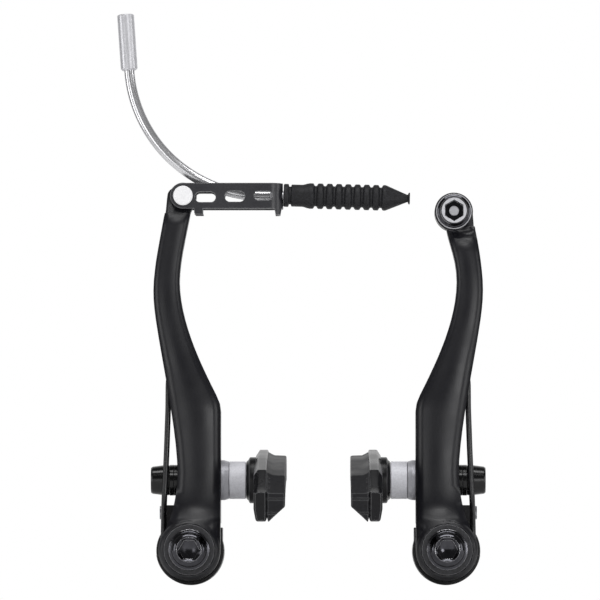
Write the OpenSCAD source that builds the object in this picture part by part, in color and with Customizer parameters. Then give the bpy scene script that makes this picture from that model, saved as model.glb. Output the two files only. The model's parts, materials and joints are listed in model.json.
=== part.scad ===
// V-brake: two mirrored sprung arms, a link with a bent cable guide pipe, a rubber boot and two curved pads.
// X runs across the wheel, +Y points back towards the bicycle frame and +Z is up.
// The origin is midway between the two pivot axes, in the plane of the cable.
// Each side is drawn for the right arm in its own frame: u outwards from the pivot, y back, v up.

/* [Pivots] */
// Distance between the two pivot axes
pivot_spacing = 80; // [76:1:86]
// Outer diameter of a pivot bushing
bushing_d = 11; // [10.6:0.2:11.4]
// Bore of a pivot bushing, over the brake boss of the bicycle frame
bushing_bore_d = 8.25; // [8.2:0.05:8.5]
// Front end of a bushing, ahead of the cable plane
bushing_front = 10.6; // [10.6:0.2:12]
// Back end of a bushing, behind the cable plane
bushing_back = 14.2; // [14.2:0.2:15.4]
// Major diameter of the pivot bolt's thread
bolt_thread_d = 5.9; // [5.8:0.05:6]
// Length of the pivot bolt under its head
bolt_length = 17.5; // [14:0.5:20]
// Diameter of the pivot bolt's flange
bolt_flange_d = 12.7; // [12.2:0.1:13.2]
// Diameter of the pivot bolt's domed head
bolt_dome_d = 10.8; // [10:0.1:11.4]
// Height of the pivot bolt's head with its flange
bolt_head_h = 3.2; // [2.8:0.1:3.6]
// Hexagon socket of the pivot bolt, across flats
bolt_socket = 5.9; // [5:0.1:6]
// Running clearance between an arm and its bushing, on the radius
running_gap = 0.05; // [0.03:0.01:0.08]

/* [Arms] */
// Outer radius of the arm's barrel at the pivot
barrel_r = 9.6; // [9.4:0.1:10]
// Radius of the raised ring on the front of the barrel
ring_r = 8.4; // [8.3:0.1:8.8]
// Front of the raised ring, ahead of the cable plane
ring_front = 10.2; // [10:0.1:10.3]
// Radius of the recess for the dust washer
recess_r = 8; // [7.8:0.1:8.1]
// Depth of that recess
recess_depth = 0.9; // [0.7:0.1:1.2]
// Back of the barrel's wide part, behind the cable plane
barrel_back = 1.6; // [1.2:0.1:1.8]
// Radius of the hub that carries the spring coil
hub_r = 6.9; // [6.6:0.1:7]
// Front of the arm at the height of the pads
arm_front = 7.2; // [6.8:0.1:7.6]
// Back of the arm at the height of the pads
arm_back = 9.4; // [9.4:0.1:10]
// Width of the bevel along the outer edge
outer_bevel = 2.8; // [2:0.1:3]
// Width of the bevel along the inner edge
inner_bevel = 2.6; // [1.6:0.1:3]
// Wall left round the hollow in the back of the arm
arm_wall = 1.4; // [1.2:0.1:1.8]
// Height of the link pin above the pivot
link_height = 110.6; // [109:0.2:112]
// Link pin outwards of the pivot
link_out = 2.2; // [1.8:0.1:2.6]
// Radius of the left arm's eye round the link pin
eye_r = 4.2; // [4:0.1:4.3]
// Thickness of the left arm's eye
eye_t = 5.2; // [4.6:0.1:5.4]
// Height of the cable bolt above the pivot
anchor_height = 105.8; // [104:0.2:107]
// Cable bolt outwards of the pivot
anchor_out = 2.4; // [2:0.1:2.8]
// Radius of the right arm's head round the cable bolt
head_r = 6; // [5.8:0.1:6.2]
// Thickness of the right arm's head
head_t = 6.6; // [6:0.1:7.2]
// Front of that head, ahead of the cable plane
head_front = 0.6; // [0.4:0.1:1]

/* [Return springs] */
// Diameter of the spring wire
wire_d = 1.8; // [1.6:0.1:2]
// Mean radius of the coil
coil_r = 8.35; // [8.3:0.05:8.4]
// Turns in the coil
coil_turns = 4; // [3:1:4]
// Rise of the coil for each turn
coil_pitch = 2.1; // [2.05:0.05:2.2]
// Outer radius of the spring case
case_r = 10.6; // [10.5:0.1:10.9]
// Wall of the spring case
case_wall = 0.9; // [0.7:0.05:0.9]
// Front of the spring case, behind the cable plane
case_front = 2.1; // [2.1:0.1:2.4]
// Floor of the spring case
case_floor = 1.3; // [1:0.1:1.5]
// Height of the ear that holds the tension screw, above the pivot
ear_height = 14.4; // [14:0.1:15]
// Diameter of the tension screw's thread
tension_d = 3; // [2.5:0.1:3]
// Radius of the locating pin that enters the frame
locating_r = 1.25; // [1.2:0.05:1.5]
// How far the locating pin stands out behind the bushing
locating_len = 3; // [2:0.2:3.6]

/* [Pads] */
// Height of the pad's post above the pivot
post_height = 22; // [21:0.2:23]
// Post behind the cable plane
post_back = 3; // [3:0.1:3.1]
// Diameter of the pad's threaded post
post_d = 6; // [5.8:0.1:6]
// Travel of the post up or down from the middle of its slot
post_travel = 4; // [3:0.2:4]
// Diameter of the nut and of the washers outside the arm
nut_d = 9.4; // [9:0.1:9.4]
// Diameter of the domed washer inside the arm
dome_washer_d = 12.5; // [12:0.1:12.5]
// Thickness of the domed washer inside the arm, at its rim
dome_washer_t = 2.4; // [1.8:0.1:2.6]
// Diameter of the cupped spacer
spacer_d = 11.7; // [11.2:0.1:12]
// Length of the cupped spacer
spacer_t = 5.2; // [4.5:0.1:6]
// Radius of the matching dome and cup
cup_r = 14; // [13:0.5:18]
// Radius of the rim line that the pads follow
rim_r = 282; // [250:5:320]
// Length of a pad along the rim
pad_len = 70; // [60:1:72]
// Height of the pad's holder
holder_h = 14.6; // [14:0.1:15.4]
// Thickness of the pad's holder
holder_t = 4.1; // [3.6:0.1:4.4]
// Thickness of the rubber block
rubber_t = 5.6; // [5:0.1:6]
// Nose-down angle of the pads about their posts
pad_tilt = 8.5; // [6:0.5:10]

/* [Link and guide pipe] */
// Sheet thickness of the folded link
link_sheet = 1.2; // [1:0.1:1.3]
// Height of the link's plates
link_h = 8; // [7.6:0.1:8.4]
// Gap between a plate and the arm's eye
link_gap = 0.3; // [0.25:0.05:0.35]
// Centre of the link pin to the nose of the link
link_len = 31.3; // [30:0.1:33]
// Diameter of the link pin
pin_d = 4; // [3.6:0.1:4]
// Diameter of the link pin's head
pin_head_d = 6.1; // [5.8:0.1:6.6]
// Outer diameter of the guide pipe
pipe_d = 3.3; // [3.2:0.1:3.4]
// Bore of the guide pipe
pipe_bore_d = 2.5; // [2.4:0.05:2.6]
// Bend radius of the guide pipe
pipe_bend_r = 42.4; // [41:0.2:45]
// Angle that the pipe turns through up to the ferrule
pipe_bend_angle = 86; // [80:1:90]
// Diameter of the ferrule that takes the cable casing
ferrule_d = 5.3; // [5.2:0.1:6]
// Length of the ferrule
ferrule_len = 17.6; // [15:0.2:20]
// Radius of the socket for the cable casing
casing_r = 2.15; // [2.1:0.05:2.2]

/* [Boot] */
// Outer diameter of the bellows at a crest
crest_d = 8; // [7.6:0.1:9]
// Outer diameter of the bellows in a valley
valley_d = 6.4; // [6:0.1:6.8]
// Distance between crests
crest_pitch = 2.9; // [2.8:0.05:3.1]
// Number of crests ahead of the cone
crests = 8; // [6:1:8]
// Wall of the boot
boot_wall = 0.9; // [0.7:0.1:1.1]

/* [Hidden] */
$fn = 64;
eps = 0.01;

// Pivot hardware
bolt_flange_t = 1.2;
bolt_socket_depth = 2.6;
socket_mouth_r = 3.8;
barrel_front = ring_front - 1.5;
hub_back = bushing_back - case_floor - 0.3;
washer_t = recess_depth + 0.1;
washer_r = recess_r - 0.15;
washer_bore_r = bushing_d / 2 + 0.3;

// Outline of an arm, as seen from the front, from Bezier stretches in [u, v]
tangent_angle = 32;
leave = [barrel_r * cos(tangent_angle), barrel_r * sin(tangent_angle)];
leave_dir = [-sin(tangent_angle), cos(tangent_angle)];
waist = [3.7, 24.3];
shoulder = [11.4, 80];
elbow = [-barrel_r, 43.5];
ramp_foot = [-8.3, 48.3];
neck_start = [3.3, 84];
outer_steps = 10;
outer_low = bezier([leave, leave + 5.5 * leave_dir, waist - [0, 6], waist], outer_steps);
outer_mid = bezier([waist, waist + [0.3, 16.7], shoulder - [0, 10], shoulder], outer_steps);
inner_low = bezier([elbow, elbow + [0, 2.1], ramp_foot - [0.7, 1.4], ramp_foot], 4);
inner_mid = bezier([ramp_foot, [-1.9, 60.8], neck_start - [0, 11], neck_start], outer_steps);
top_steps = 6;

// Top of the outer edge and of the inner edge, and the last sections as [v, front, back], of the left arm
left_top = [link_out + eye_r + 0.7, link_height];
left_neck = [-0.1, link_height - 5.2];
left_last = [[left_neck[1] - 7.4, 4.8, 4.6], [left_neck[1] - 4, 4.7, 4.5], [left_neck[1] - 1.3, 4.5, 4.3],
    [left_neck[1], eye_t / 2, eye_t / 2]];
// The same of the right arm
right_top = [anchor_out + head_r - 0.1, anchor_height];
right_neck = [0.2, anchor_height - head_r];
right_last = [[right_neck[1] - 3, 4.8, 4.6], [right_neck[1] - 1.7, 3, 5.2],
    [right_neck[1] + 0.1, head_front, head_t - head_front], [right_neck[1] + 1.4, head_front, head_t - head_front]];

// Depth of an arm along its height, as [v, distance]
blade_front = [[0, ring_front - 0.6], [9, ring_front - 0.6], [11, 8.6], [13.5, arm_front + 0.5],
    [17, arm_front + 0.1], [24, arm_front], [45, arm_front], [60, 6.6], [84, 5.6], [93, 5.1]];
blade_back = [[0, arm_back], [36, arm_back], [60, 6.4], [84, 5.2], [93, 4.8]];
outer_bevel_drop = 1.8;
inner_bevel_drop = 1.6;
back_chamfer = 0.8;
bevel_flat = 0.5;
stations = [0, 4, 7, 9, 10, 11, 12.2, 13.5, 15, 17, 20, 24, 28, 33, 38, 43.5, 46, 48.3, 51, 54, 57,
    60, 63, 66, 69, 72, 75, 78, 81, 84, 87, 90, 93];

// Clearances of an arm to its neighbours
case_clear_r = 12.9;
slot_w = post_d + 0.3;
outer_seat_u = 3.5;
seat_r = nut_d / 2 + 0.4;
seat_gap = 0.1;

// Hollow in the back of an arm, behind the spring's leg
wire_y = 3;
hollow_front = wire_y + wire_d / 2 + 0.3;
hollow_low = 41;
hollow_high = 92;
hook_v = 57;

// Return spring
wire_sides = 8;
coil_steps = 20;
coil_y = 3.2;
// Points of the spring's leg, from the coil up to the hook: [u, y, v]
leg_points = [[8.33, 3.15, 2.5], [8.3, 3.05, 5], [8.25, 2.85, 7.5], [8.2, 2, 9.6], [8.15, 0.7, 11.6],
    [8.05, -0.9, 13.3], [7.95, 0.75 - wire_y, 15], [7.85, 0.05 - wire_y, 17], [7.7, -wire_y, 19.5],
    [7.4, -wire_y, 26], [7.15, -wire_y, 32], [6.95, -wire_y, 38], [6.75, -wire_y, 44], [6.7, -wire_y, 49],
    [6.65, -wire_y, 52], [6.35, -wire_y, 54.3], [5.85, -wire_y, 55.8], [5.4, -wire_y, 57.2], [5.3, -wire_y, 59.5]];

// Spring case
case_back = bushing_back;
case_side = 10.1;
case_shoulder = 7.2;
ear_in = 2.6;
ear_out = 8.2;
ear_front = arm_back + 0.4;
ear_back = 13.8;
tension_v = 12.1;
tension_y = (ear_front + ear_back) / 2;
tension_head_d = 4.2;
tension_head_t = 1.4;
tension_tip = 1.6;
locating_v = 9;
locating_foot_r = locating_r - 0.4;

// Pad clamp, stacked along u
inner_seat_u = -barrel_r;
dome_washer_u = inner_seat_u - seat_gap;
spacer_rim_u = dome_washer_u - dome_washer_t - 0.2;
boss_u = spacer_rim_u - spacer_t - 0.1;
boss_t = 2.6;
boss_r = 7.5;
boss_drop = 0.6;
holder_u = boss_u - boss_t;
rubber_u = holder_u - holder_t;
pad_rise = 0.5;
pad_end_h = 9.4;
pad_end_run = 8;
groove_angle = 3.4;
groove_w = 1.5;
groove_t = 1.6;
outer_dome_u = outer_seat_u + seat_gap;
outer_dome_t = 1.35;
outer_cup_u = outer_dome_u + outer_dome_t + 0.1;
outer_cup_t = 1.55;
outer_washer_r = nut_d / 2 + 0.1;
nut_u = outer_cup_u + outer_cup_t;
nut_t = 5.6;
nut_socket = 5;
nut_socket_depth = 3;
nut_tip_d = nut_d - 1.2;
post_end_u = nut_u + nut_t - nut_socket_depth - 0.3;
post_bore_r = post_d / 2 + 0.2;

// Link
link_half_gap = eye_t / 2 + link_gap;
link_half = link_half_gap + link_sheet;
pin_x = -pivot_spacing / 2 - link_out;
nose_x = pin_x + link_len;
fold_x = nose_x - link_half;
pin_head_t = 0.7;

// Guide pipe
pipe_z = link_height + 0.2;
bend_x = nose_x - 5.95;
bend_z = pipe_z + pipe_bend_r;
pipe_end_x = nose_x - link_sheet - 2.1;
key_w = 2.1;
pipe_grip = 2;
tip_collar_d = 4.9;
tip_grip = 0.8;
tip_spigot_d = 3.1;
tip_reach = 1.6;
tip_bore_d = 2;
liner_d = pipe_bore_d - 0.1;
liner_bore_d = 1.9;
ferrule_seat = 6;

// Boot, measured from the link's nose
boot_start = nose_x + 0.3;
collar_d = 7.2;
collar_len = 1.4;
groove_d = 5.6;
groove_len = 0.8;
barrel_d = 6.9;
boot_barrel_len = 3.6;
flare_len = 1.9;
cone_end_d = 2.2;
cone_len = 8.3;
lip_d = 3.7;
lip_len = 0.7;
boot_tilt = 1.5;
boot_rise = 0.2;

// Cable bolt
cable_d = 1.6;
cable_washer_r = 5.5;
cable_washer_t = 1.5;
cable_flange_r = 5.25;
cable_head_r = 3.95;
cable_head_h = 4.4;
cable_socket = 5.8;
cable_socket_depth = 2.8;
cable_thread_d = 5;

// A cubic Bezier stretch through p[0] and p[3], in n steps
function bezier(p, n) = [for (i = [0:n]) let (t = i / n, s = 1 - t)
    s * s * s * p[0] + 3 * s * s * t * p[1] + 3 * s * t * t * p[2] + t * t * t * p[3]];

function arc(centre, r, from, to, n) = [for (i = [0:n]) let (a = from + (to - from) * i / n)
    centre + r * [cos(a), sin(a)]];

function reversed(list) = [for (i = [len(list) - 1:-1:0]) list[i]];

function swapped(list) = [for (p = list) [p[1], p[0]]];

// Outer and inner edge of the blade at height v
outer_table = swapped(concat([[barrel_r, 0]], outer_low, outer_mid));
inner_table = swapped(concat([[-barrel_r, 0]], inner_low, inner_mid));
function outer_top(top) = bezier([shoulder, shoulder + [0.15, 9], top + [1.1, -8.8], top], top_steps);
function outer_at(v, top) = v <= shoulder[1] ? lookup(v, outer_table) : lookup(v, swapped(outer_top(top)));
function inner_top(neck) = bezier([neck_start, neck_start + [0, 7], neck + [0.9, -5], neck], top_steps);
function inner_at(v, neck) = v <= neck_start[1] ? lookup(v, inner_table) : lookup(v, swapped(inner_top(neck)));

// One cross-section of a blade at height v from depth -f to b: the bevelled front, then the back
function blade_section(v, f, b, top, neck) =
    let (uo = outer_at(v, top), ui = inner_at(v, neck), share = min(1, (uo - ui) / 12, f / 5),
        bo = outer_bevel * share, bi = inner_bevel * share)
    [[uo, v, -f + outer_bevel_drop * share], [uo - bo, v, -f + bevel_flat * share], [ui + bi, v, -f],
        [ui, v, -f + inner_bevel_drop * share], [ui, v, b - back_chamfer], [ui + back_chamfer, v, b],
        [uo - back_chamfer, v, b], [uo, v, b - back_chamfer]];

// Puts its children on one side: 1 is the right, -1 the mirrored left
module at_side(side) {
    translate([side * pivot_spacing / 2, 0, 0])
        if (side < 0) mirror([1, 0, 0]) children();
        else children();
}

// Turns what stands along +Z so that it runs back along +Y
module back() {
    rotate([-90, 0, 0]) children();
}

// Turns what stands along +Z so that it runs outwards along +X
module outwards() {
    rotate([0, 90, 0]) children();
}

// Extrudes an outline seen from the front, from depth y and back by t
module plate(y, t) {
    translate([0, y + t, 0]) rotate([90, 0, 0]) linear_extrude(t) children();
}

// A closed solid through rings of equal length
module loft(rings) {
    n = len(rings[0]);
    last = len(rings) - 1;
    points = [for (r = rings) each r];
    sides = [for (i = [0:last - 1], j = [0:n - 1]) let (a = i * n + j, b = i * n + (j + 1) % n)
        each [[a, b, b + n], [a, b + n, a + n]]];
    caps = [reversed([for (j = [0:n - 1]) j]), [for (j = [0:n - 1]) last * n + j]];
    polyhedron(points, concat(sides, caps), convexity = 6);
}

// A hexagon of the given width across flats, with a corner on its X axis
module hexagon(flats) {
    circle(d = flats / cos(30), $fn = 6);
}

function unit(a) = a / norm(a);
function along(p, i) = unit(p[min(i + 1, len(p) - 1)] - p[max(i - 1, 0)]);
function wire_ring(p, i) = let (t = along(p, i), s = unit(cross([0, 1, 0], t)), w = cross(t, s))
    [for (k = [0:wire_sides - 1]) let (a = -360 * k / wire_sides) p[i] + wire_d / 2 * (cos(a) * s + sin(a) * w)];

module pivot_bolt() {
    color([0.12, 0.12, 0.13])
    difference() {
        union() {
            translate([0, -bushing_front, 0]) back() cylinder(d = bolt_thread_d, h = bolt_length);
            translate([0, -bushing_front, 0]) rotate([90, 0, 0]) rotate_extrude()
                polygon(concat([[0, 0], [bolt_flange_d / 2 - 0.2, 0], [bolt_flange_d / 2, 0.2],
                    [bolt_flange_d / 2, bolt_flange_t - 0.3], [bolt_flange_d / 2 - 0.3, bolt_flange_t],
                    [bolt_dome_d / 2 + 0.1, bolt_flange_t + 0.1]],
                    arc([bolt_dome_d / 2 - 1.4, bolt_head_h - 1.4], 1.4, 10, 90, 6),
                    [[socket_mouth_r, bolt_head_h], [0, bolt_head_h]]));
        }
        translate([0, -bushing_front - bolt_head_h, 0]) back() {
            translate([0, 0, -1]) linear_extrude(bolt_socket_depth + 1) hexagon(bolt_socket);
            translate([0, 0, -eps]) cylinder(r1 = socket_mouth_r, r2 = bolt_socket / 2, h = 0.7);
        }
    }
}

module pivot_bushing() {
    color([0.7, 0.7, 0.72])
    translate([0, -bushing_front, 0]) back()
    difference() {
        cylinder(d = bushing_d, h = bushing_front + bushing_back);
        translate([0, 0, -1]) cylinder(d = bushing_bore_d, h = bushing_front + bushing_back + 2);
    }
}

module dust_washer() {
    color([0.16, 0.16, 0.17])
    translate([0, -ring_front + recess_depth, 0]) rotate([90, 0, 0])
    difference() {
        cylinder(r = washer_r, h = washer_t);
        translate([0, 0, -1]) cylinder(r = washer_bore_r, h = washer_t + 2);
    }
}

// The lofted blade of an arm up to its neck
module blade(top, neck, last) {
    loft([for (s = concat([for (v = stations) if (v < last[0][0] - 0.5)
        [v, lookup(v, blade_front), lookup(v, blade_back)]], last))
        [for (q = blade_section(s[0], s[1], s[2], top, neck)) [q[0], q[2], q[1]]]]);
}

// The barrel's front disc with its bevelled ring, and the hub behind it
module barrel() {
    translate([0, barrel_back, 0]) rotate([90, 0, 0]) rotate_extrude()
        polygon([[0, 0], [barrel_r, 0], [barrel_r, barrel_front + barrel_back],
            [ring_r, ring_front + barrel_back], [0, ring_front + barrel_back]]);
    back() cylinder(r = hub_r, h = hub_back);
}

// Everything that is cut out of an arm at its pivot and pad slot
module arm_cuts(top, neck) {
    high = min(hollow_high, neck[1] - 7);
    translate([0, -ring_front - 1, 0]) back() cylinder(r = bushing_d / 2 + running_gap, h = 40);
    translate([0, -ring_front - 1, 0]) back() cylinder(r = recess_r, h = recess_depth + 1);
    translate([0, barrel_back, 0]) back() difference() {
        cylinder(r = case_clear_r, h = 30);
        translate([0, 0, -1]) cylinder(r = hub_r, h = 32);
    }
    translate([-20, post_back - slot_w / 2, post_height - post_travel]) cube([40, slot_w, 2 * post_travel]);
    for (dv = [-post_travel, post_travel]) translate([-20, post_back, post_height + dv]) {
        outwards() cylinder(d = slot_w, h = 40);
        translate([20 + outer_seat_u, 0, 0]) outwards() cylinder(r = seat_r, h = 20);
    }
    translate([outer_seat_u, post_back - seat_r, post_height - post_travel])
        cube([20, 2 * seat_r, 2 * post_travel]);
    plate(-hollow_front, 30) polygon(concat(
        [[12, hollow_low], [12, hook_v]],
        [for (v = [hook_v:5:high]) [outer_at(v, top) - arm_wall, v]],
        [for (v = [high:-5:hollow_low + 6]) [inner_at(v, neck) + arm_wall * 1.3, v]],
        [[inner_at(hollow_low, neck) + arm_wall * 1.6, hollow_low]]));
}

module left_arm_shape() {
    rise = left_top[1] - left_neck[1];
    difference() {
        union() {
            blade(left_top, left_neck, left_last);
            barrel();
            plate(-eye_t / 2, eye_t) polygon(concat(
                [left_neck + [0.5, -0.9]],
                [for (k = [0:3]) let (v = left_neck[1] - 0.9 + k / 3 * rise) [outer_at(v, left_top) - 0.3 + k * 0.1, v]],
                arc(left_top - [2.6, 0], 2.6, 10, 100, 6),
                [[link_out, link_height], [link_out, link_height] - eye_r * [cos(30), sin(30)], left_neck]));
            translate([link_out, -eye_t / 2, link_height]) back() cylinder(r = eye_r, h = eye_t);
        }
        arm_cuts(left_top, left_neck);
        translate([link_out, -20, link_height]) back() cylinder(r = pin_d / 2 + running_gap, h = 40);
    }
}

module right_arm_shape() {
    rise = right_top[1] - right_neck[1];
    difference() {
        union() {
            blade(right_top, right_neck, right_last);
            barrel();
            plate(-head_front, head_t) polygon(concat(
                [right_neck + [0.8, 1]],
                [for (k = [1:4]) let (v = right_neck[1] + k / 4 * rise) [outer_at(v, right_top) - (4 - k) * 0.1, v]],
                [[anchor_out, anchor_height]]));
            translate([anchor_out, -head_front, anchor_height]) back() cylinder(r = head_r, h = head_t);
        }
        arm_cuts(right_top, right_neck);
        translate([anchor_out, -20, anchor_height]) back() cylinder(d = cable_thread_d + 0.1, h = 40);
    }
}

// Coil round the hub and a leg that passes ahead of the pad nut and into the hollow of the arm
module return_spring() {
    n = coil_turns * coil_steps;
    coil = [for (i = [0:n]) let (left = 1 - i / n, a = -360 * coil_turns * left)
        [coil_r * cos(a), coil_y + coil_pitch * coil_turns * left, coil_r * sin(a)]];
    path = concat(coil, leg_points);
    color([0.1, 0.1, 0.11])
    loft([for (i = [0:len(path) - 1]) wire_ring(path, i)]);
}

module case_outline(r, side, high) {
    circle(r = r);
    translate([-side, 0]) square([side, high]);
}

// Cup behind the arm that holds the coil, with an ear for the tension screw
module spring_case() {
    inner_r = case_r - case_wall;
    depth = case_back - case_front;
    color([0.15, 0.15, 0.16])
    difference() {
        union() {
            translate([0, case_front, 0]) back() mirror([0, 1, 0]) linear_extrude(depth)
                case_outline(case_r, case_side, case_shoulder);
            translate([ear_in, ear_front, 4]) cube([ear_out - ear_in, ear_back - ear_front, ear_height - 4]);
        }
        translate([0, case_front - 1, 0]) back() cylinder(r = inner_r, h = depth - case_floor + 1);
        back() cylinder(r = bushing_d / 2 + 0.1, h = 40);
        translate([3, case_front - 1, -1.5]) cube([12, 3.4, 13]);
        translate([0, tension_y, tension_v]) outwards() cylinder(d = tension_d + 0.1, h = 20);
        translate([0, case_back - case_floor - 1, locating_v]) back() cylinder(r = locating_foot_r, h = 10);
    }
}

module locating_pin() {
    color([0.75, 0.75, 0.77])
    translate([0, case_back - case_floor, locating_v]) back() {
        cylinder(r = locating_foot_r, h = case_floor);
        translate([0, 0, case_floor]) cylinder(r = locating_r, h = locating_len);
    }
}

module tension_screw() {
    color([0.6, 0.6, 0.62])
    translate([tension_tip, tension_y, tension_v]) outwards()
    difference() {
        union() {
            cylinder(d = tension_d, h = ear_out - tension_tip + 0.2);
            translate([0, 0, ear_out - tension_tip + 0.1]) cylinder(d = tension_head_d, h = tension_head_t);
        }
        for (a = [0, 90]) translate([0, 0, ear_out - tension_tip + 0.1 + tension_head_t]) rotate(a)
            cube([3, 0.7, 1.6], center = true);
    }
}

// Puts its children at the pad's post: +Z then runs outwards along the post from distance u
module on_post(u) {
    translate([u, post_back, post_height]) outwards() children();
}

// How far a dome or a cup falls away from its apex at radius r
function cup_drop(r) = cup_r - sqrt(cup_r * cup_r - r * r);

function cup_line(r0, r1, z) = [for (k = [0:6]) let (x = r0 + (r1 - r0) * k / 6) [x, z - cup_drop(x)]];

// A washer with a flat face at 0, a side of height t and a dome over it that leaves the side at radius top
module dome_washer(r, top, t) {
    rotate_extrude() polygon(concat([[post_bore_r, 0], [r, 0], [r, t * 0.4], [top, t]],
        cup_line(top - 0.1, post_bore_r, t + cup_drop(top))));
}

// A washer with a side from 0 to t, a flat face at t and a cup in its other end
module cup_washer(r, t) {
    rotate_extrude() polygon(concat([[r, t - 0.3], [r - 0.3, t], [post_bore_r, t]],
        cup_line(post_bore_r, r, cup_drop(r))));
}

module pad_nut() {
    color([0.1, 0.1, 0.1])
    on_post(nut_u)
    difference() {
        rotate_extrude() polygon([[0, 0], [nut_d / 2, 0], [nut_d / 2, 1.6], [nut_tip_d / 2 + 0.15, nut_t - 0.5],
            [nut_tip_d / 2 - 0.2, nut_t], [0, nut_t]]);
        translate([0, 0, -1]) cylinder(d = post_d + 0.1, h = nut_t - nut_socket_depth + 1);
        translate([0, 0, nut_t - nut_socket_depth - eps]) linear_extrude(10) hexagon(nut_socket);
    }
}

module outer_dome_washer() {
    color([0.13, 0.13, 0.14]) on_post(outer_dome_u) dome_washer(outer_washer_r, outer_washer_r, outer_dome_t);
}

module outer_cup_washer() {
    color([0.1, 0.1, 0.11]) on_post(outer_cup_u) cup_washer(outer_washer_r, outer_cup_t);
}

module inner_dome_washer() {
    color([0.55, 0.55, 0.57])
    on_post(dome_washer_u) mirror([0, 0, 1]) dome_washer(dome_washer_d / 2, spacer_d / 2, dome_washer_t);
}

module cup_spacer() {
    color([0.7, 0.7, 0.73]) on_post(spacer_rim_u) mirror([0, 0, 1]) cup_washer(spacer_d / 2, spacer_t);
}

module pad_post() {
    color([0.6, 0.6, 0.62]) on_post(holder_u - holder_t / 2) cylinder(d = post_d, h = post_end_u - holder_u + holder_t / 2);
}

// A section in [height, distance inwards from u] swept along the rim line and cut to the pad's length
module pad_sweep(u, section) {
    half = pad_len / 2 / rim_r * 180 / PI;
    translate([u, post_back, post_height]) rotate([pad_tilt, 0, 0]) translate([0, 0, pad_rise - rim_r])
        outwards() rotate(180 - half) rotate_extrude(angle = 2 * half, $fn = 360)
            polygon([for (p = section) [rim_r + p[0], -p[1]]]);
}

// How far the rim line falls away at distance y from the middle of a pad
function rim_sag(y) = rim_r - sqrt(rim_r * rim_r - y * y);

// Prisms that slope the top of both ends of a pad
module pad_end_cuts() {
    y0 = pad_len / 2 - pad_end_run;
    z0 = holder_h / 2 - rim_sag(y0);
    z1 = pad_end_h - holder_h / 2 - rim_sag(pad_len / 2);
    y2 = pad_len / 2 + 2;
    for (end = [-1, 1]) translate([boss_u - 20, post_back, post_height]) rotate([pad_tilt, 0, 0])
        translate([0, 0, pad_rise]) rotate([90, 0, 90]) linear_extrude(40)
            polygon([[end * y0, z0], [end * y2, z1 - 2 * (z0 - z1) / pad_end_run], [end * y2, z0 + 9], [end * y0, z0 + 9]]);
}

module pad_holder() {
    h = holder_h / 2;
    color([0.14, 0.14, 0.15])
    difference() {
        union() {
            difference() {
                pad_sweep(holder_u, [[-h + 0.5, 0.6], [-h, 1.2], [-h, holder_t - 0.6], [-h + 0.8, holder_t],
                    [h - 0.4, holder_t], [h, holder_t - 0.4], [h, 1.3], [h - 1.8, 0.2], [h - 2.4, 0], [-h + 4, 0]]);
                pad_end_cuts();
            }
            on_post(boss_u) translate([boss_drop, 0, 0]) mirror([0, 0, 1]) rotate_extrude()
                polygon([[0, 0], [spacer_d / 2 + 0.1, 0], [boss_r - 0.3, 0.45], [boss_r, 0.9], [boss_r, boss_t + 0.5],
                    [0, boss_t + 0.5]]);
        }
        on_post(holder_u - holder_t / 2) cylinder(d = post_d + 0.1, h = 20);
    }
}

module pad_rubber() {
    h = holder_h / 2;
    t = rubber_t;
    color([0.2, 0.2, 0.21])
    difference() {
        pad_sweep(rubber_u, [[-h + 1.4, 0], [-h, 0.5], [-h + 4.2, t - 0.6], [-h + 4.6, t], [h - 1.9, t],
            [h - 1.75, 1.9], [h - 1.3, 0.9], [h - 0.8, 0]]);
        pad_end_cuts();
        for (k = [-1:1]) translate([rubber_u - t, post_back, post_height]) rotate([pad_tilt, 0, 0])
            translate([0, 0, pad_rise - rim_r]) rotate([k * groove_angle, 0, 0])
                translate([-1, -groove_w / 2, rim_r - 20]) cube([1 + groove_t, groove_w, 40]);
    }
}

// Opening in the link's plates from x0 to x1 past the pin, with rounded corners
module link_opening(x0, x1, h, r) {
    for (x = [x0 + r, x1 - r], z = [r - h / 2, h / 2 - r]) translate([x, z]) circle(r = r, $fn = 32);
    translate([x0 + r, -h / 2]) square([x1 - x0 - 2 * r, h]);
    translate([x0, r - h / 2]) square([x1 - x0, h - 2 * r]);
}

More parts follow.
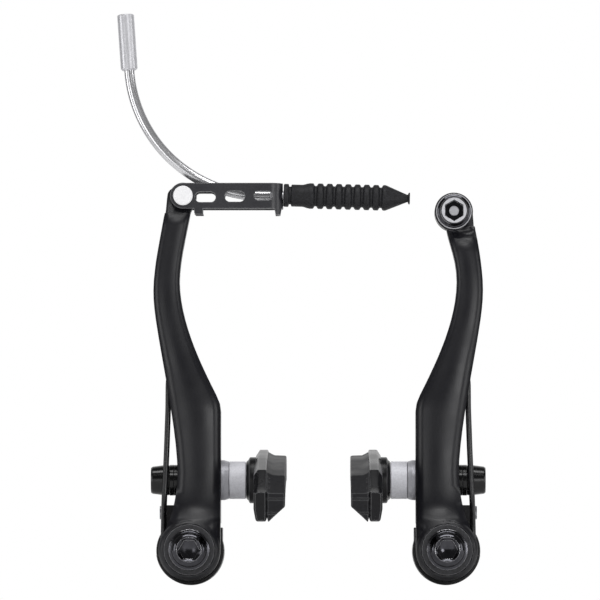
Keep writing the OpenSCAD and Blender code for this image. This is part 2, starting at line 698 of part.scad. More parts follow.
module link_bracket() {
    color([0.2, 0.2, 0.22])
    difference() {
        intersection() {
            translate([0, 0, link_height - 8]) linear_extrude(16) difference() {
                union() {
                    translate([pin_x - link_h, -link_half]) square([fold_x - pin_x + link_h, 2 * link_half]);
                    translate([fold_x, 0]) circle(r = link_half);
                }
                translate([pin_x - link_h - 1, -link_half_gap]) square([fold_x - pin_x + link_h + 1, 2 * link_half_gap]);
                translate([fold_x, 0]) circle(r = link_half_gap);
            }
            translate([0, 20, 0]) rotate([90, 0, 0]) linear_extrude(40) translate([0, link_height]) {
                translate([pin_x, 0]) circle(d = link_h);
                translate([pin_x, -link_h / 2]) square([nose_x - pin_x + 1, link_h]);
                polygon([[pin_x + 3.4, 0], [pin_x + 3.5, -link_h / 2 - 1.3], [pin_x + 4, -link_h / 2 - 1.8],
                    [pin_x + 6.4, -link_h / 2 - 1.8], [pin_x + 6.2, -link_h / 2 - 1], [pin_x + 6.2, 0]]);
                polygon([[nose_x - 2.9, 1 - link_h / 2], [nose_x - 2.4, -link_h / 2 - 1.9],
                    [nose_x - 0.9, -link_h / 2 - 1.9], [nose_x - 0.4, 1 - link_h / 2]]);
            }
        }
        translate([0, 20, 0]) rotate([90, 0, 0]) linear_extrude(40) translate([pin_x, link_height]) {
            translate([0, -0.4]) link_opening(3.8, 10.2, 3.2, 1.5);
            translate([0, -0.2]) link_opening(13.1, 19.3, 3.4, 1.6);
            link_opening(22.2, 28, 2.8, 1.3);
        }
        translate([pin_x, -20, link_height]) back() cylinder(d = pin_d + 0.1, h = 40);
        translate([fold_x, 0, pipe_z]) outwards() cylinder(d = tip_spigot_d + 0.2, h = 20);
        translate([fold_x, -key_w / 2, pipe_z]) cube([20, key_w, 20]);
    }
}

module link_pin() {
    color([0.85, 0.85, 0.87])
    translate([pin_x, -link_half - 0.05, link_height]) {
        back() cylinder(d = pin_d, h = 2 * link_half + 0.1);
        rotate([90, 0, 0]) rotate_extrude() polygon([[0, 0], [pin_head_d / 2, 0], [pin_head_d / 2, pin_head_t - 0.2],
            [pin_head_d / 2 - 0.2, pin_head_t], [0, pin_head_t]]);
        translate([0, 2 * link_half + 0.1, 0]) back() cylinder(d = pin_d + 1.4, h = 0.6);
    }
}

// A pipe's section
module pipe_ring(r, bore) {
    difference() {
        circle(r = r, $fn = 32);
        circle(r = bore, $fn = 32);
    }
}

// A pipe along the guide's route: straight from the tip, round the bend and on into the ferrule by grip
module pipe_run(r, bore, grip) {
    turn = pipe_bend_angle + grip / pipe_bend_r * 180 / PI;
    translate([bend_x, 0, pipe_z]) outwards() linear_extrude(pipe_end_x - bend_x) pipe_ring(r, bore);
    translate([bend_x, 0, bend_z]) rotate([-90, 0, 0]) rotate(90)
        rotate_extrude(angle = turn, $fn = 96) translate([pipe_bend_r, 0]) pipe_ring(r, bore);
}

// Puts its children at the upper end of the bend, with +Z along the pipe towards the casing
module pipe_top() {
    translate([bend_x, 0, bend_z]) rotate([0, pipe_bend_angle, 0]) translate([0, 0, -pipe_bend_r])
        rotate([0, -90, 0]) children();
}

module guide_pipe() {
    color([0.78, 0.78, 0.8]) pipe_run(pipe_d / 2, pipe_bore_d / 2, pipe_grip);
}

module pipe_liner() {
    color([0.92, 0.92, 0.9]) pipe_run(liner_d / 2, liner_bore_d / 2, pipe_grip + 1);
}

module pipe_ferrule() {
    color([0.72, 0.72, 0.74])
    pipe_top()
    difference() {
        rotate_extrude() polygon([[0, 0], [ferrule_d / 2 - 0.5, 0], [ferrule_d / 2, 0.5],
            [ferrule_d / 2, ferrule_len - 0.3], [ferrule_d / 2 - 0.3, ferrule_len], [0, ferrule_len]]);
        translate([0, 0, -1]) cylinder(d = pipe_d + 0.2, h = pipe_grip + 1.1);
        translate([0, 0, 1]) cylinder(d = pipe_bore_d + 0.3, h = ferrule_len);
        translate([0, 0, ferrule_seat]) cylinder(r = casing_r, h = ferrule_len);
    }
}

module pipe_tip() {
    wall_x = nose_x - link_sheet - pipe_end_x + tip_grip;
    color([0.8, 0.8, 0.82])
    translate([pipe_end_x - tip_grip, 0, pipe_z]) outwards()
    difference() {
        rotate_extrude() polygon([[0, 0], [tip_collar_d / 2 - 0.2, 0], [tip_collar_d / 2, 0.2],
            [tip_collar_d / 2, wall_x - 1.7], [1.9, wall_x - 1.05], [tip_spigot_d / 2, wall_x - 0.8],
            [tip_spigot_d / 2, wall_x + link_sheet + tip_reach], [0, wall_x + link_sheet + tip_reach]]);
        translate([0, 0, -1]) cylinder(d = tip_bore_d, h = 20);
        translate([0, 0, -1]) cylinder(d = pipe_d, h = tip_grip + 1);
    }
}

module cable_boot() {
    bellows_start = collar_len + groove_len + boot_barrel_len + flare_len;
    cone_start = bellows_start + crests * crest_pitch - 0.6;
    outer = concat([[collar_d / 2, 0], [collar_d / 2, collar_len], [groove_d / 2, collar_len + 0.1],
        [groove_d / 2, collar_len + groove_len - 0.1], [barrel_d / 2, collar_len + groove_len],
        [barrel_d / 2, bellows_start - flare_len], [crest_d / 2 - 0.2, bellows_start - 0.5]],
        [for (i = [0:crests - 1], e = [[crest_d, 0.02], [crest_d, 0.46], [valley_d, 0.62], [valley_d, 0.84]])
            [e[0] / 2, bellows_start + (i + e[1]) * crest_pitch]],
        [[crest_d / 2, cone_start], [crest_d / 2, cone_start + 1.5], [cone_end_d / 2, cone_start + cone_len],
        [lip_d / 2, cone_start + cone_len + 0.3], [lip_d / 2, cone_start + cone_len + lip_len]]);
    color([0.13, 0.13, 0.14])
    translate([boot_start, 0, pipe_z + boot_rise]) rotate([0, boot_tilt, 0]) outwards()
    rotate_extrude() polygon(concat(outer,
        [[cable_d / 2, cone_start + cone_len + lip_len], [cable_d / 2, cone_start + cone_len - 0.6],
        [valley_d / 2 - boot_wall, cone_start], [valley_d / 2 - boot_wall, bellows_start - flare_len],
        [tip_spigot_d / 2 + 0.5, collar_len + groove_len], [tip_spigot_d / 2 + 0.4, 0]]));
}

module cable_washer() {
    color([0.85, 0.85, 0.86])
    translate([pivot_spacing / 2 + anchor_out, -head_front, anchor_height]) rotate([90, 0, 0])
    difference() {
        cylinder(r = cable_washer_r, h = cable_washer_t);
        translate([0, 0, -1]) cylinder(d = cable_thread_d + 0.3, h = cable_washer_t + 2);
        rotate(10) translate([-10, -cable_thread_d / 2 - cable_d, -cable_d * 0.6]) cube([20, cable_d, cable_d]);
    }
}

module cable_bolt() {
    seat = -head_front - cable_washer_t;
    color([0.12, 0.12, 0.13])
    translate([pivot_spacing / 2 + anchor_out, seat, anchor_height]) {
        back() cylinder(d = cable_thread_d, h = head_t + cable_washer_t + 1);
        rotate([90, 0, 0]) difference() {
            rotate_extrude() polygon([[0, 0], [cable_flange_r, 0], [cable_flange_r, 0.7], [cable_flange_r - 0.3, 1],
                [cable_head_r + 0.25, cable_head_h - 0.4], [cable_head_r, cable_head_h], [0, cable_head_h]]);
            translate([0, 0, cable_head_h - cable_socket_depth]) linear_extrude(10) rotate(30) hexagon(cable_socket);
        }
        translate([0, -cable_head_h + cable_socket_depth, 0]) rotate([90, 0, 0]) cylinder(r = 1.55, h = 0.5);
    }
}

module left_pivot_bolt() { at_side(-1) pivot_bolt(); }
module right_pivot_bolt() { at_side(1) pivot_bolt(); }
module left_pivot_bushing() { at_side(-1) pivot_bushing(); }
module right_pivot_bushing() { at_side(1) pivot_bushing(); }
module left_spring_case() { at_side(-1) spring_case(); }
module right_spring_case() { at_side(1) spring_case(); }
module left_locating_pin() { at_side(-1) locating_pin(); }
module right_locating_pin() { at_side(1) locating_pin(); }
module left_tension_screw() { at_side(-1) tension_screw(); }
module right_tension_screw() { at_side(1) tension_screw(); }
module left_arm() { color([0.22, 0.22, 0.24]) at_side(-1) left_arm_shape(); }
module right_arm() { color([0.22, 0.22, 0.24]) at_side(1) right_arm_shape(); }
module left_dust_washer() { at_side(-1) dust_washer(); }
module right_dust_washer() { at_side(1) dust_washer(); }
module left_return_spring() { at_side(-1) return_spring(); }
module right_return_spring() { at_side(1) return_spring(); }
module left_pad_nut() { at_side(-1) pad_nut(); }
module right_pad_nut() { at_side(1) pad_nut(); }
module left_outer_cup_washer() { at_side(-1) outer_cup_washer(); }
module right_outer_cup_washer() { at_side(1) outer_cup_washer(); }
module left_outer_dome_washer() { at_side(-1) outer_dome_washer(); }
module right_outer_dome_washer() { at_side(1) outer_dome_washer(); }
module left_inner_dome_washer() { at_side(-1) inner_dome_washer(); }
module right_inner_dome_washer() { at_side(1) inner_dome_washer(); }
module left_cup_spacer() { at_side(-1) cup_spacer(); }
module right_cup_spacer() { at_side(1) cup_spacer(); }
module left_pad_post() { at_side(-1) pad_post(); }
module right_pad_post() { at_side(1) pad_post(); }
module left_pad_holder() { at_side(-1) pad_holder(); }
module right_pad_holder() { at_side(1) pad_holder(); }
module left_pad_rubber() { at_side(-1) pad_rubber(); }
module right_pad_rubber() { at_side(1) pad_rubber(); }

left_pivot_bolt();
right_pivot_bolt();
left_pivot_bushing();
right_pivot_bushing();
left_spring_case();
right_spring_case();
left_locating_pin();
right_locating_pin();
left_tension_screw();
right_tension_screw();
left_arm();
right_arm();
left_dust_washer();
right_dust_washer();
left_return_spring();
right_return_spring();
left_pad_nut();
right_pad_nut();
left_outer_cup_washer();
right_outer_cup_washer();
left_outer_dome_washer();
right_outer_dome_washer();
left_inner_dome_washer();
right_inner_dome_washer();
left_cup_spacer();
right_cup_spacer();
left_pad_post();
right_pad_post();
left_pad_holder();
right_pad_holder();
left_pad_rubber();
right_pad_rubber();
link_bracket();
link_pin();
guide_pipe();
pipe_liner();
pipe_ferrule();
pipe_tip();
cable_boot();
cable_bolt();
cable_washer();
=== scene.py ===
"""Dresses a packed V-brake for its picture.

CAD nodes get their finishes, the arms, springs, pads, boot and bolts get finer shapes, and a studio goes round it all.
"""

from __future__ import annotations

import json
import logging
import math
import sys
from dataclasses import dataclass, field
from enum import Enum
from typing import Any, Callable, Sequence

import bmesh
import bpy
from mathutils import Matrix, Vector

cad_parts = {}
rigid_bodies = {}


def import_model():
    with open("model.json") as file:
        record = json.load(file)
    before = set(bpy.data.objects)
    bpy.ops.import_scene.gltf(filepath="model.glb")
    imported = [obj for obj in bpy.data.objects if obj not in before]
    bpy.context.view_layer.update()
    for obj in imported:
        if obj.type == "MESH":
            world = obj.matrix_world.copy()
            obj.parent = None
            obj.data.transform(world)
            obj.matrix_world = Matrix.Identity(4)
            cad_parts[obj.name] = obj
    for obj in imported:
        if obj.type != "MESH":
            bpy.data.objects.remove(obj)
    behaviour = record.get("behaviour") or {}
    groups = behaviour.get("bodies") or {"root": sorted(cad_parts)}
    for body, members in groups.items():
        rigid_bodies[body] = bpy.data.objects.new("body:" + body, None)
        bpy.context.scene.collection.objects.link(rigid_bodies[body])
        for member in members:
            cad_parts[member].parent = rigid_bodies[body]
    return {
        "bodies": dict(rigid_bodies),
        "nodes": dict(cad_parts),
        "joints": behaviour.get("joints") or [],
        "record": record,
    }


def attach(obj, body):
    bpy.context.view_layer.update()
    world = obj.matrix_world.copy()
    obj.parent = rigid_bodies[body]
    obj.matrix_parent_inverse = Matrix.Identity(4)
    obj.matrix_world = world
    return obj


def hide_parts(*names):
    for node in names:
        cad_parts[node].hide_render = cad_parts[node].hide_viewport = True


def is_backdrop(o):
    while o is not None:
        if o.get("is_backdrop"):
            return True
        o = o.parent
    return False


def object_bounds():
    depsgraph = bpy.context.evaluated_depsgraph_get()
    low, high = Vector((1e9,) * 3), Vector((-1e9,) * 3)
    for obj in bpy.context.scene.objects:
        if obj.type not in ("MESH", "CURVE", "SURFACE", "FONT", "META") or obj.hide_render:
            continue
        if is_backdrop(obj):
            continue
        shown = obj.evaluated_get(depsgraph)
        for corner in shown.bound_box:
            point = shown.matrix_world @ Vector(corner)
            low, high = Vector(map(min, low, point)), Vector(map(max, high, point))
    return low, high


LOG = logging.getLogger("v_brake")
FRAME: dict[str, Any] = {}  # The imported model, which main() loads before anything is built.
MM = 0.001
PIVOT_X = 40.0  # Each pivot's distance from the middle, in mm.
PAD_POST = (3.0, 22.0)  # Where a pad's post runs, back and up of its pivot, in mm.
BACK = Vector((0, 1, 0))
FINE_STEPS = 96  # Steps round a turned piece that the eye meets from near.
HEAD_CREASE = 40.0  # Crease of a bolt's head, in degrees.
Point = tuple[float, float, float]
Profile = list[tuple[float, float]]
Piece = bpy.types.Object


class Side(Enum):
    """The brake's two halves, with the sign of X on each."""

    LEFT = -1
    RIGHT = 1

    @property
    def word(self) -> str:
        """The side's name as the CAD nodes spell it."""
        return self.name.lower()

    def at(self, u: float, y: float, v: float) -> Vector:
        """A place in metres from a side's own frame: u outwards of the pivot, y back, v up, in mm."""
        return Vector((self.value * (PIVOT_X + u), y, v)) * MM


class Grain(Enum):
    """What the tool, mould or blasting left on a surface."""

    BLASTED = "fine pits from beads"
    TURNED = "rings from a lathe, seen as bands along the axis"
    DRAWN = "streaks from a die or a belt"
    MOULDED = "the low pebble of a steel mould"
    COATED = "the gentle ripple of a baked coating"


# The middle of a noise texture, which nearly all of its values stay in.
NOISE_BAND = (0.3, 0.7)
# How far a rounded normal leans from the plain one where the pale edge begins, and where it is full: partly real
# rubbing, partly a painted highlight on the rims.
EDGE_WEAR_AND_HIGHLIGHT_BAND = (0.12, 0.55)
# Patches of a duller or glossier skin, to the metre: one is about 11 mm across.
PATCHES = 90.0
# How far a streak's noise is drawn out: a streak is some 30 times as long as it is wide.
STREAK = 0.03
BEVEL_SAMPLES = 6


def linear(hex_code: str) -> tuple[float, float, float, float]:
    """Turns an sRGB hex value to linear RGBA.

    Args:
        hex_code: The colour, as #rrggbb.

    Returns:
        Red, green, blue and a full alpha.
    """
    parts = [int(hex_code.lstrip("#")[i : i + 2], 16) / 255 for i in (0, 2, 4)]
    red, green, blue = (c / 12.92 if c <= 0.04045 else ((c + 0.055) / 1.055) ** 2.4 for c in parts)
    return red, green, blue, 1.0


def port(sockets: Any, key: str) -> bpy.types.NodeSocket:
    """Finds one of a node's sockets by its identifier, or else by its name."""
    return next((s for s in sockets if s.identifier == key), None) or sockets[key]


def add_node(
    tree: bpy.types.NodeTree,
    kind: str,
    settings: dict[str, Any] | None = None,
    links: dict[str, bpy.types.NodeSocket] | None = None,
) -> bpy.types.Node:
    """Adds a node with its settings and its links.

    Args:
        tree: The node tree that gets the node.
        kind: The node's type.
        settings: Values by attribute, or by an input's identifier or name.
        links: Sockets by the identifier or name of the input that they feed.

    Returns:
        The new node.
    """
    node = tree.nodes.new(kind)
    for key, value in (settings or {}).items():
        if hasattr(node, key):
            setattr(node, key, value)
        else:
            port(node.inputs, key).default_value = value
    for key, socket in (links or {}).items():
        tree.links.new(socket, port(node.inputs, key))
    return node


@dataclass(frozen=True)
class Finish:
    """A surface as it was made, with every size in millimetres.

    Args:
        title: What the real one is and how its surface was made.
        slot: The record's material slot; not used.
        colour: The main colour, sRGB.
        tint: The colour in the grain, sRGB.
        metallic: Share of bare metal.
        roughness: Middle roughness.
        grain: What the surface's making left on it.
        grain_mm: Distance between two marks of the grain.
        relief_mm: Height of the grain.
        edge_mm: Radius that the eye sees on its edges.
        specular: Strength of the reflection of a dielectric, 0.5 at its plain level.
        spread: How far the roughness wanders.
        along: Axis of the bands or streaks.
        wear: How far its sharp edges are painted pale, partly as real rubbing and partly as a painted highlight on the
            rims.
        worn: The colour of a pale edge, sRGB: partly bare metal, partly painted highlight.
    """

    title: str
    slot: str
    colour: str
    tint: str
    metallic: float
    roughness: float
    grain: Grain
    grain_mm: float
    relief_mm: float
    edge_mm: float
    specular: float = 0.5
    spread: float = 0.05
    along: str = "Y"
    wear: float = 0.0
    worn: str = "#c9c9cc"

    def _height(self, tree: bpy.types.NodeTree, place: bpy.types.NodeSocket) -> bpy.types.NodeSocket:
        """Draws the grain's height.

        Args:
            tree: The material's node tree.
            place: Object coordinates.

        Returns:
            The height, from 0 to 1.
        """
        scale = 1.0 / (self.grain_mm * MM)
        if self.grain is Grain.TURNED:
            bands = {"wave_type": "BANDS", "bands_direction": self.along, "wave_profile": "SIN"}
            bands |= {"Scale": scale / (2 * math.pi), "Distortion": 2.0, "Detail": 2.0, "Detail Scale": 1.5}
            return add_node(tree, "ShaderNodeTexWave", bands, {"Vector": place}).outputs["Fac"]
        if self.grain is Grain.DRAWN:
            squeeze = {"X": (STREAK, 1.0, 1.0), "Y": (1.0, STREAK, 1.0), "Z": (1.0, 1.0, STREAK)}[self.along]
            lines = add_node(tree, "ShaderNodeMapping", {"Scale": squeeze}, {"Vector": place})
            noise = {"Scale": scale, "Detail": 4.0, "Roughness": 0.65}
            return add_node(tree, "ShaderNodeTexNoise", noise, {"Vector": lines.outputs[0]}).outputs["Fac"]
        if self.grain is Grain.MOULDED:
            cells = {"feature": "SMOOTH_F1", "Scale": scale, "Smoothness": 0.8, "Randomness": 1.0}
            return add_node(tree, "ShaderNodeTexVoronoi", cells, {"Vector": place}).outputs["Distance"]
        detail = 5.0 if self.grain is Grain.BLASTED else 1.0
        noise = {"Scale": scale, "Detail": detail, "Roughness": 0.7}
        return add_node(tree, "ShaderNodeTexNoise", noise, {"Vector": place}).outputs["Fac"]

    def _gloss(self, tree: bpy.types.NodeTree, place: bpy.types.NodeSocket) -> bpy.types.NodeSocket:
        """Lets the roughness wander in patches about its middle.

        Args:
            tree: The material's node tree.
            place: Object coordinates.

        Returns:
            The roughness.
        """
        patches = add_node(tree, "ShaderNodeTexNoise", {"Scale": PATCHES, "Detail": 3.0}, {"Vector": place})
        band = {"From Min": NOISE_BAND[0], "From Max": NOISE_BAND[1]}
        band |= {"To Min": self.roughness - self.spread, "To Max": self.roughness + self.spread}
        return add_node(tree, "ShaderNodeMapRange", band, {"Value": patches.outputs["Fac"]}).outputs[0]

    def _colour(
        self, tree: bpy.types.NodeTree, height: bpy.types.NodeSocket, rounded: bpy.types.NodeSocket
    ) -> bpy.types.NodeSocket:
        """Tints the grain's marks and paints the sharp edges pale, partly as real rubbing and partly as a painted
        highlight on the rims.

        Args:
            tree: The material's node tree.
            height: The grain's height.
            rounded: The normal with its edges eased.

        Returns:
            The colour.
        """
        band = {"From Min": NOISE_BAND[0], "From Max": NOISE_BAND[1]}
        stain = add_node(tree, "ShaderNodeMapRange", band, {"Value": height})
        stained = add_node(
            tree,
            "ShaderNodeMix",
            {"data_type": "RGBA", "A_Color": linear(self.colour), "B_Color": linear(self.tint)},
            {"Factor": stain.outputs[0]},
        )
        flat = add_node(tree, "ShaderNodeNewGeometry").outputs["Normal"]
        both = {"Vector": rounded, "Vector_001": flat}
        lean = add_node(tree, "ShaderNodeVectorMath", {"operation": "DISTANCE"}, both)
        # Pale sharp edges: partly real rubbing, partly a painted highlight where rims would catch the lamps.
        edge_wear_and_highlight_range = {"From Min": EDGE_WEAR_AND_HIGHLIGHT_BAND[0], "From Max": EDGE_WEAR_AND_HIGHLIGHT_BAND[1], "To Min": 0.0, "To Max": self.wear}
        edge_wear_and_highlight_mask = add_node(tree, "ShaderNodeMapRange", edge_wear_and_highlight_range, {"Value": lean.outputs["Value"]})
        bright = add_node(
            tree,
            "ShaderNodeMix",
            {"data_type": "RGBA", "B_Color": linear(self.worn)},
            {"Factor": edge_wear_and_highlight_mask.outputs[0], "A_Color": port(stained.outputs, "Result_Color")},
        )
        return port(bright.outputs, "Result_Color")

    def material(self) -> bpy.types.Material:
        """Builds the material once, and gives the same one each time after.

        Returns:
            The material, with its grain, eased edges, pale edges of real rubbing and painted highlight, and wandering
            gloss.
        """
        made = bpy.data.materials.get(self.title)
        if made:
            return made
        made = bpy.data.materials.new(self.title)
        made.diffuse_color = linear(self.colour)
        made.use_nodes = True
        tree = made.node_tree
        tree.nodes.clear()
        place = add_node(tree, "ShaderNodeTexCoord").outputs["Object"]
        height = self._height(tree, place)
        ease = {"samples": BEVEL_SAMPLES, "Radius": self.edge_mm * MM}
        rounded = add_node(tree, "ShaderNodeBevel", ease).outputs[0]
        relief = {"Strength": 1.0, "Distance": self.relief_mm * MM}
        bump = add_node(tree, "ShaderNodeBump", relief, {"Height": height, "Normal": rounded})
        skin = {
            "Base Color": self._colour(tree, height, rounded),
            "Roughness": self._gloss(tree, place),
            "Normal": bump.outputs[0],
        }
        own = {"Metallic": self.metallic, "Specular IOR Level": self.specular}
        shader = add_node(tree, "ShaderNodeBsdfPrincipled", own, skin)
        add_node(tree, "ShaderNodeOutputMaterial", None, {"Surface": shader.outputs[0]})
        return made


# A pixel of the picture is about 0.3 mm, and the real marks are finer, so every grain is drawn coarser than it is, to
# show at all: bead pits and tumbling marks of 0.05 to 0.1 mm at 0.4 to 0.6 mm, the pebble of a mould of 0.1 mm at 0.5
# to 0.7 mm, die, belt and flow lines of 0.02 to 0.1 mm at 0.3 to 0.8 mm, and lathe rings of 0.1 mm at 0.35 mm. The
# ripple of a coating is drawn at its real 0.6 to 1.2 mm.

# Anodised aluminium forging, bead-blasted before the bath: a soft sheen, with edges painted a little grey, partly real
# rubbing and partly a painted highlight.
FORGING = Finish(
    "satin_anodised_forging", "arm_black", "#0e0e12", "#15151a", 0.0, 0.36, Grain.BLASTED, 0.5, 0.012, 0.25,
    specular=0.42, wear=0.3,
)  # fmt: skip
# Steel screw heads in bright black chrome: wet highlights on nearly black, and rims painted pale as a painted
# highlight, with a little real rubbing.
BLACK_CHROME = Finish(
    "black_chrome_screw", "bolt_black", "#434347", "#4c4c50", 1.0, 0.15, Grain.COATED, 1.2, 0.003, 0.25, wear=1.0
)
# Turned steel sleeves and pins: fine bright rings.
TURNED_STEEL = Finish(
    "turned_steel", "bushing_steel", "#9a9a9e", "#b4b4b8", 1.0, 0.3, Grain.TURNED, 0.35, 0.01, 0.1
)
# Sintered dust washer with a rough black face, its rims painted pale: a painted highlight, with a little real rubbing.
DUST_WASHER = Finish(
    "rough_black_washer", "washer_dark", "#0c0c0d", "#333338", 0.0, 0.45, Grain.BLASTED, 0.55, 0.05, 0.2, wear=0.5
)
# Spring wire dipped in black lacquer: one long highlight along each turn.
LACQUER_WIRE = Finish(
    "lacquered_spring_wire", "spring_black", "#0e0e10", "#161618", 0.0, 0.28, Grain.COATED, 0.9, 0.01, 0.05
)
# Glass-filled nylon cup from a satin mould: dull black with a faint pebble, and edges painted faintly pale, partly
# real rubbing and partly a painted highlight.
NYLON_CASE = Finish(
    "moulded_nylon_case", "case_black", "#101012", "#19191c", 0.0, 0.4, Grain.MOULDED, 0.7, 0.015, 0.3, wear=0.12
)
# Zinc-plated screws and posts: a cool grey shine.
ZINC_SCREW = Finish(
    "zinc_plated_screw", "screw_steel", "#9a9ba0", "#acadb2", 1.0, 0.32, Grain.COATED, 0.6, 0.006, 0.12
)
# Steel nut and outer washers in gloss black lacquer: sharp highlights on deep black, and a trace of pale edge, partly
# real rubbing and partly a painted highlight.
GLOSS_NUT = Finish(
    "gloss_black_nut", "nut_black", "#040405", "#080809", 0.0, 0.2, Grain.COATED, 1.0, 0.006, 0.25,
    specular=0.4, wear=0.06,
)  # fmt: skip
# Pressed steel washer, tumbled and dull plated: an even grey with no mirror in it.
PLATED_WASHER = Finish(
    "plated_dome_washer", "washer_silver", "#a4a4aa", "#b6b6bc", 0.35, 0.42, Grain.BLASTED, 0.6, 0.01, 0.25
)
# Aluminium spacer, blasted and clear anodised: pale and grainy.
BLASTED_SPACER = Finish(
    "blasted_aluminium_spacer", "spacer_silver", "#c2c2c8", "#dadae0", 0.1, 0.5, Grain.BLASTED, 0.6, 0.03, 0.2
)
# Pressed steel pad holder, powder coated in satin black: a slow ripple, with pale lines along its edges that are
# mostly a painted highlight, with some real rubbing.
COATED_HOLDER = Finish(
    "satin_coated_holder", "holder_black", "#0a0a0c", "#101013", 0.0, 0.3, Grain.COATED, 0.9, 0.012, 0.4,
    specular=0.25, wear=0.3,
)  # fmt: skip
# Brake rubber straight from its mould: dull, with flow lines along the block, and edges painted a little pale, partly
# real rubbing and partly a painted highlight.
BRAKE_RUBBER = Finish(
    "moulded_brake_rubber", "pad_rubber", "#141416", "#202023", 0.0, 0.5, Grain.DRAWN, 0.8, 0.06, 0.3,
    specular=0.2, spread=0.08, wear=0.2,
)  # fmt: skip
# Folded steel sheet in charcoal lacquer: a shade lighter than the arms, with its folds painted pale, mostly a painted
# highlight, with some real rubbing.
CHARCOAL_SHEET = Finish(
    "charcoal_sheet", "link_grey", "#242427", "#303034", 0.0, 0.36, Grain.BLASTED, 0.6, 0.012, 0.3, wear=0.35
)
# Rivet head of tumbled stainless steel: nearly white under a soft light.
TUMBLED_PIN = Finish(
    "tumbled_steel_pin", "pin_steel", "#dededf", "#e8e8ea", 0.1, 0.45, Grain.BLASTED, 0.5, 0.008, 0.12
)
# Drawn stainless tube, polished: long reflections with the faintest streaks.
DRAWN_PIPE = Finish(
    "drawn_steel_pipe", "pipe_chrome", "#d6d6d9", "#e6e6e8", 0.85, 0.22, Grain.DRAWN, 0.6, 0.0002, 0.02, along="X"
)
# Fluoropolymer liner, extruded: smooth and milky.
LINER = Finish(
    "fluoropolymer_liner", "liner_white", "#dcdcd6", "#e6e6e0", 0.0, 0.35, Grain.COATED, 1.0, 0.004, 0.05
)
# Aluminium ferrule, belt-finished along its length: a pale, silky tube.
BRUSHED_FERRULE = Finish(
    "brushed_aluminium_ferrule", "ferrule_silver", "#c6c6ca", "#d6d6da", 0.6, 0.36, Grain.DRAWN, 0.35, 0.002, 0.2,
    along="Z",
)  # fmt: skip
# Rubber bellows straight from the mould: matt black, a little grey on its crests.
BELLOWS_RUBBER = Finish(
    "moulded_rubber_bellows", "boot_rubber", "#101013", "#1c1c20", 0.0, 0.58, Grain.MOULDED, 0.5, 0.02, 0.15,
    specular=0.35,
)  # fmt: skip
# Zinc-plated clamp washer and bare screw face: a light grey that takes the key light.
CLAMP_STEEL = Finish(
    "zinc_clamp_washer", "anchor_steel", "#c4c4c8", "#d2d2d6", 0.4, 0.34, Grain.BLASTED, 0.4, 0.008, 0.15
)


def dress(node: str, finish: Finish) -> Piece:
    """Puts a finish on a CAD node that keeps its shape.

    Args:
        node: The CAD node.
        finish: Its finish.

    Returns:
        The node's object.
    """
    piece = FRAME["nodes"][node]
    piece.data.materials.clear()
    piece.data.materials.append(finish.material())
    LOG.info("dressed %s in %s", node, finish.title)
    return piece


def settle(piece: Piece, body: str, stands_for: Sequence[str] = ()) -> Piece:
    """Makes a new piece ride on its body and hides the CAD nodes that it stands for.

    Args:
        piece: The finished piece, with its place in its mesh.
        body: The CAD body that carries it.
        stands_for: CAD nodes that it replaces in the picture.

    Returns:
        The same piece.
    """
    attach(piece, body)
    if stands_for:
        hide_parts(*stands_for)
    LOG.info("built %s on %s with %d faces", piece.name, body, len(piece.data.polygons))
    return piece


def new_piece(name: str, mesh: bpy.types.Mesh) -> Piece:
    """Links a mesh as a new object at the origin.

    Args:
        name: The object's name.
        mesh: Its mesh, with its place in it.

    Returns:
        The object.
    """
    piece = bpy.data.objects.new(name, mesh)
    bpy.context.scene.collection.objects.link(piece)
    return piece


def shade(mesh: bpy.types.Mesh, crease_deg: float) -> None:
    """Smooths a mesh except across edges sharper than the crease."""
    mesh.polygons.foreach_set("use_smooth", [True] * len(mesh.polygons))
    mesh.set_sharp_from_angle(angle=math.radians(crease_deg))


MERGE = 2e-6  # Corners of the loose triangles that lie this near, in metres, are one.
FLAT = math.radians(0.2)  # Faces that meet at less than this are one.


def merged_copy(node: str, name: str, finish: Finish, crease_deg: float) -> Piece:
    """Copies a CAD node's mesh, merges its loose triangles and shades its facets as one smooth surface.

    Args:
        node: The CAD node.
        name: The copy's name.
        finish: The copy's finish.
        crease_deg: Edges sharper than this stay crisp.

    Returns:
        The copy, at the origin.
    """
    shape = bmesh.new()
    shape.from_mesh(FRAME["nodes"][node].data)
    bmesh.ops.remove_doubles(shape, verts=shape.verts, dist=MERGE)
    bmesh.ops.dissolve_limit(shape, angle_limit=FLAT, verts=shape.verts, edges=shape.edges)
    mesh = bpy.data.meshes.new(name)
    shape.to_mesh(mesh)
    shape.free()
    shade(mesh, crease_deg)
    mesh.materials.append(finish.material())
    return new_piece(name, mesh)


def hexagon_reach(turn: float, flats_mm: float) -> float:
    """How far a hexagon with a corner at angle 0 reaches at an angle, by its width across flats."""
    sector = math.radians(60)
    return flats_mm / 2 / math.cos(turn % sector - sector / 2)


@dataclass(frozen=True)
class Ring:
    """One ring of a turned piece in mm: a circle of a radius, or a hexagon by its width across flats."""

    reach: float
    height: float
    hexagon: bool = False

    def point(self, turn: float, phase: float) -> Vector:
        """The ring's point at an angle, in metres."""
        radius = hexagon_reach(turn + phase, self.reach) if self.hexagon else self.reach
        return Vector((radius * math.cos(turn), radius * math.sin(turn), self.height)) * MM


def circles(profile: Profile) -> list[Ring]:
    """Turns a profile of (radius, height) to rings."""
    return [Ring(r, z) for r, z in profile]


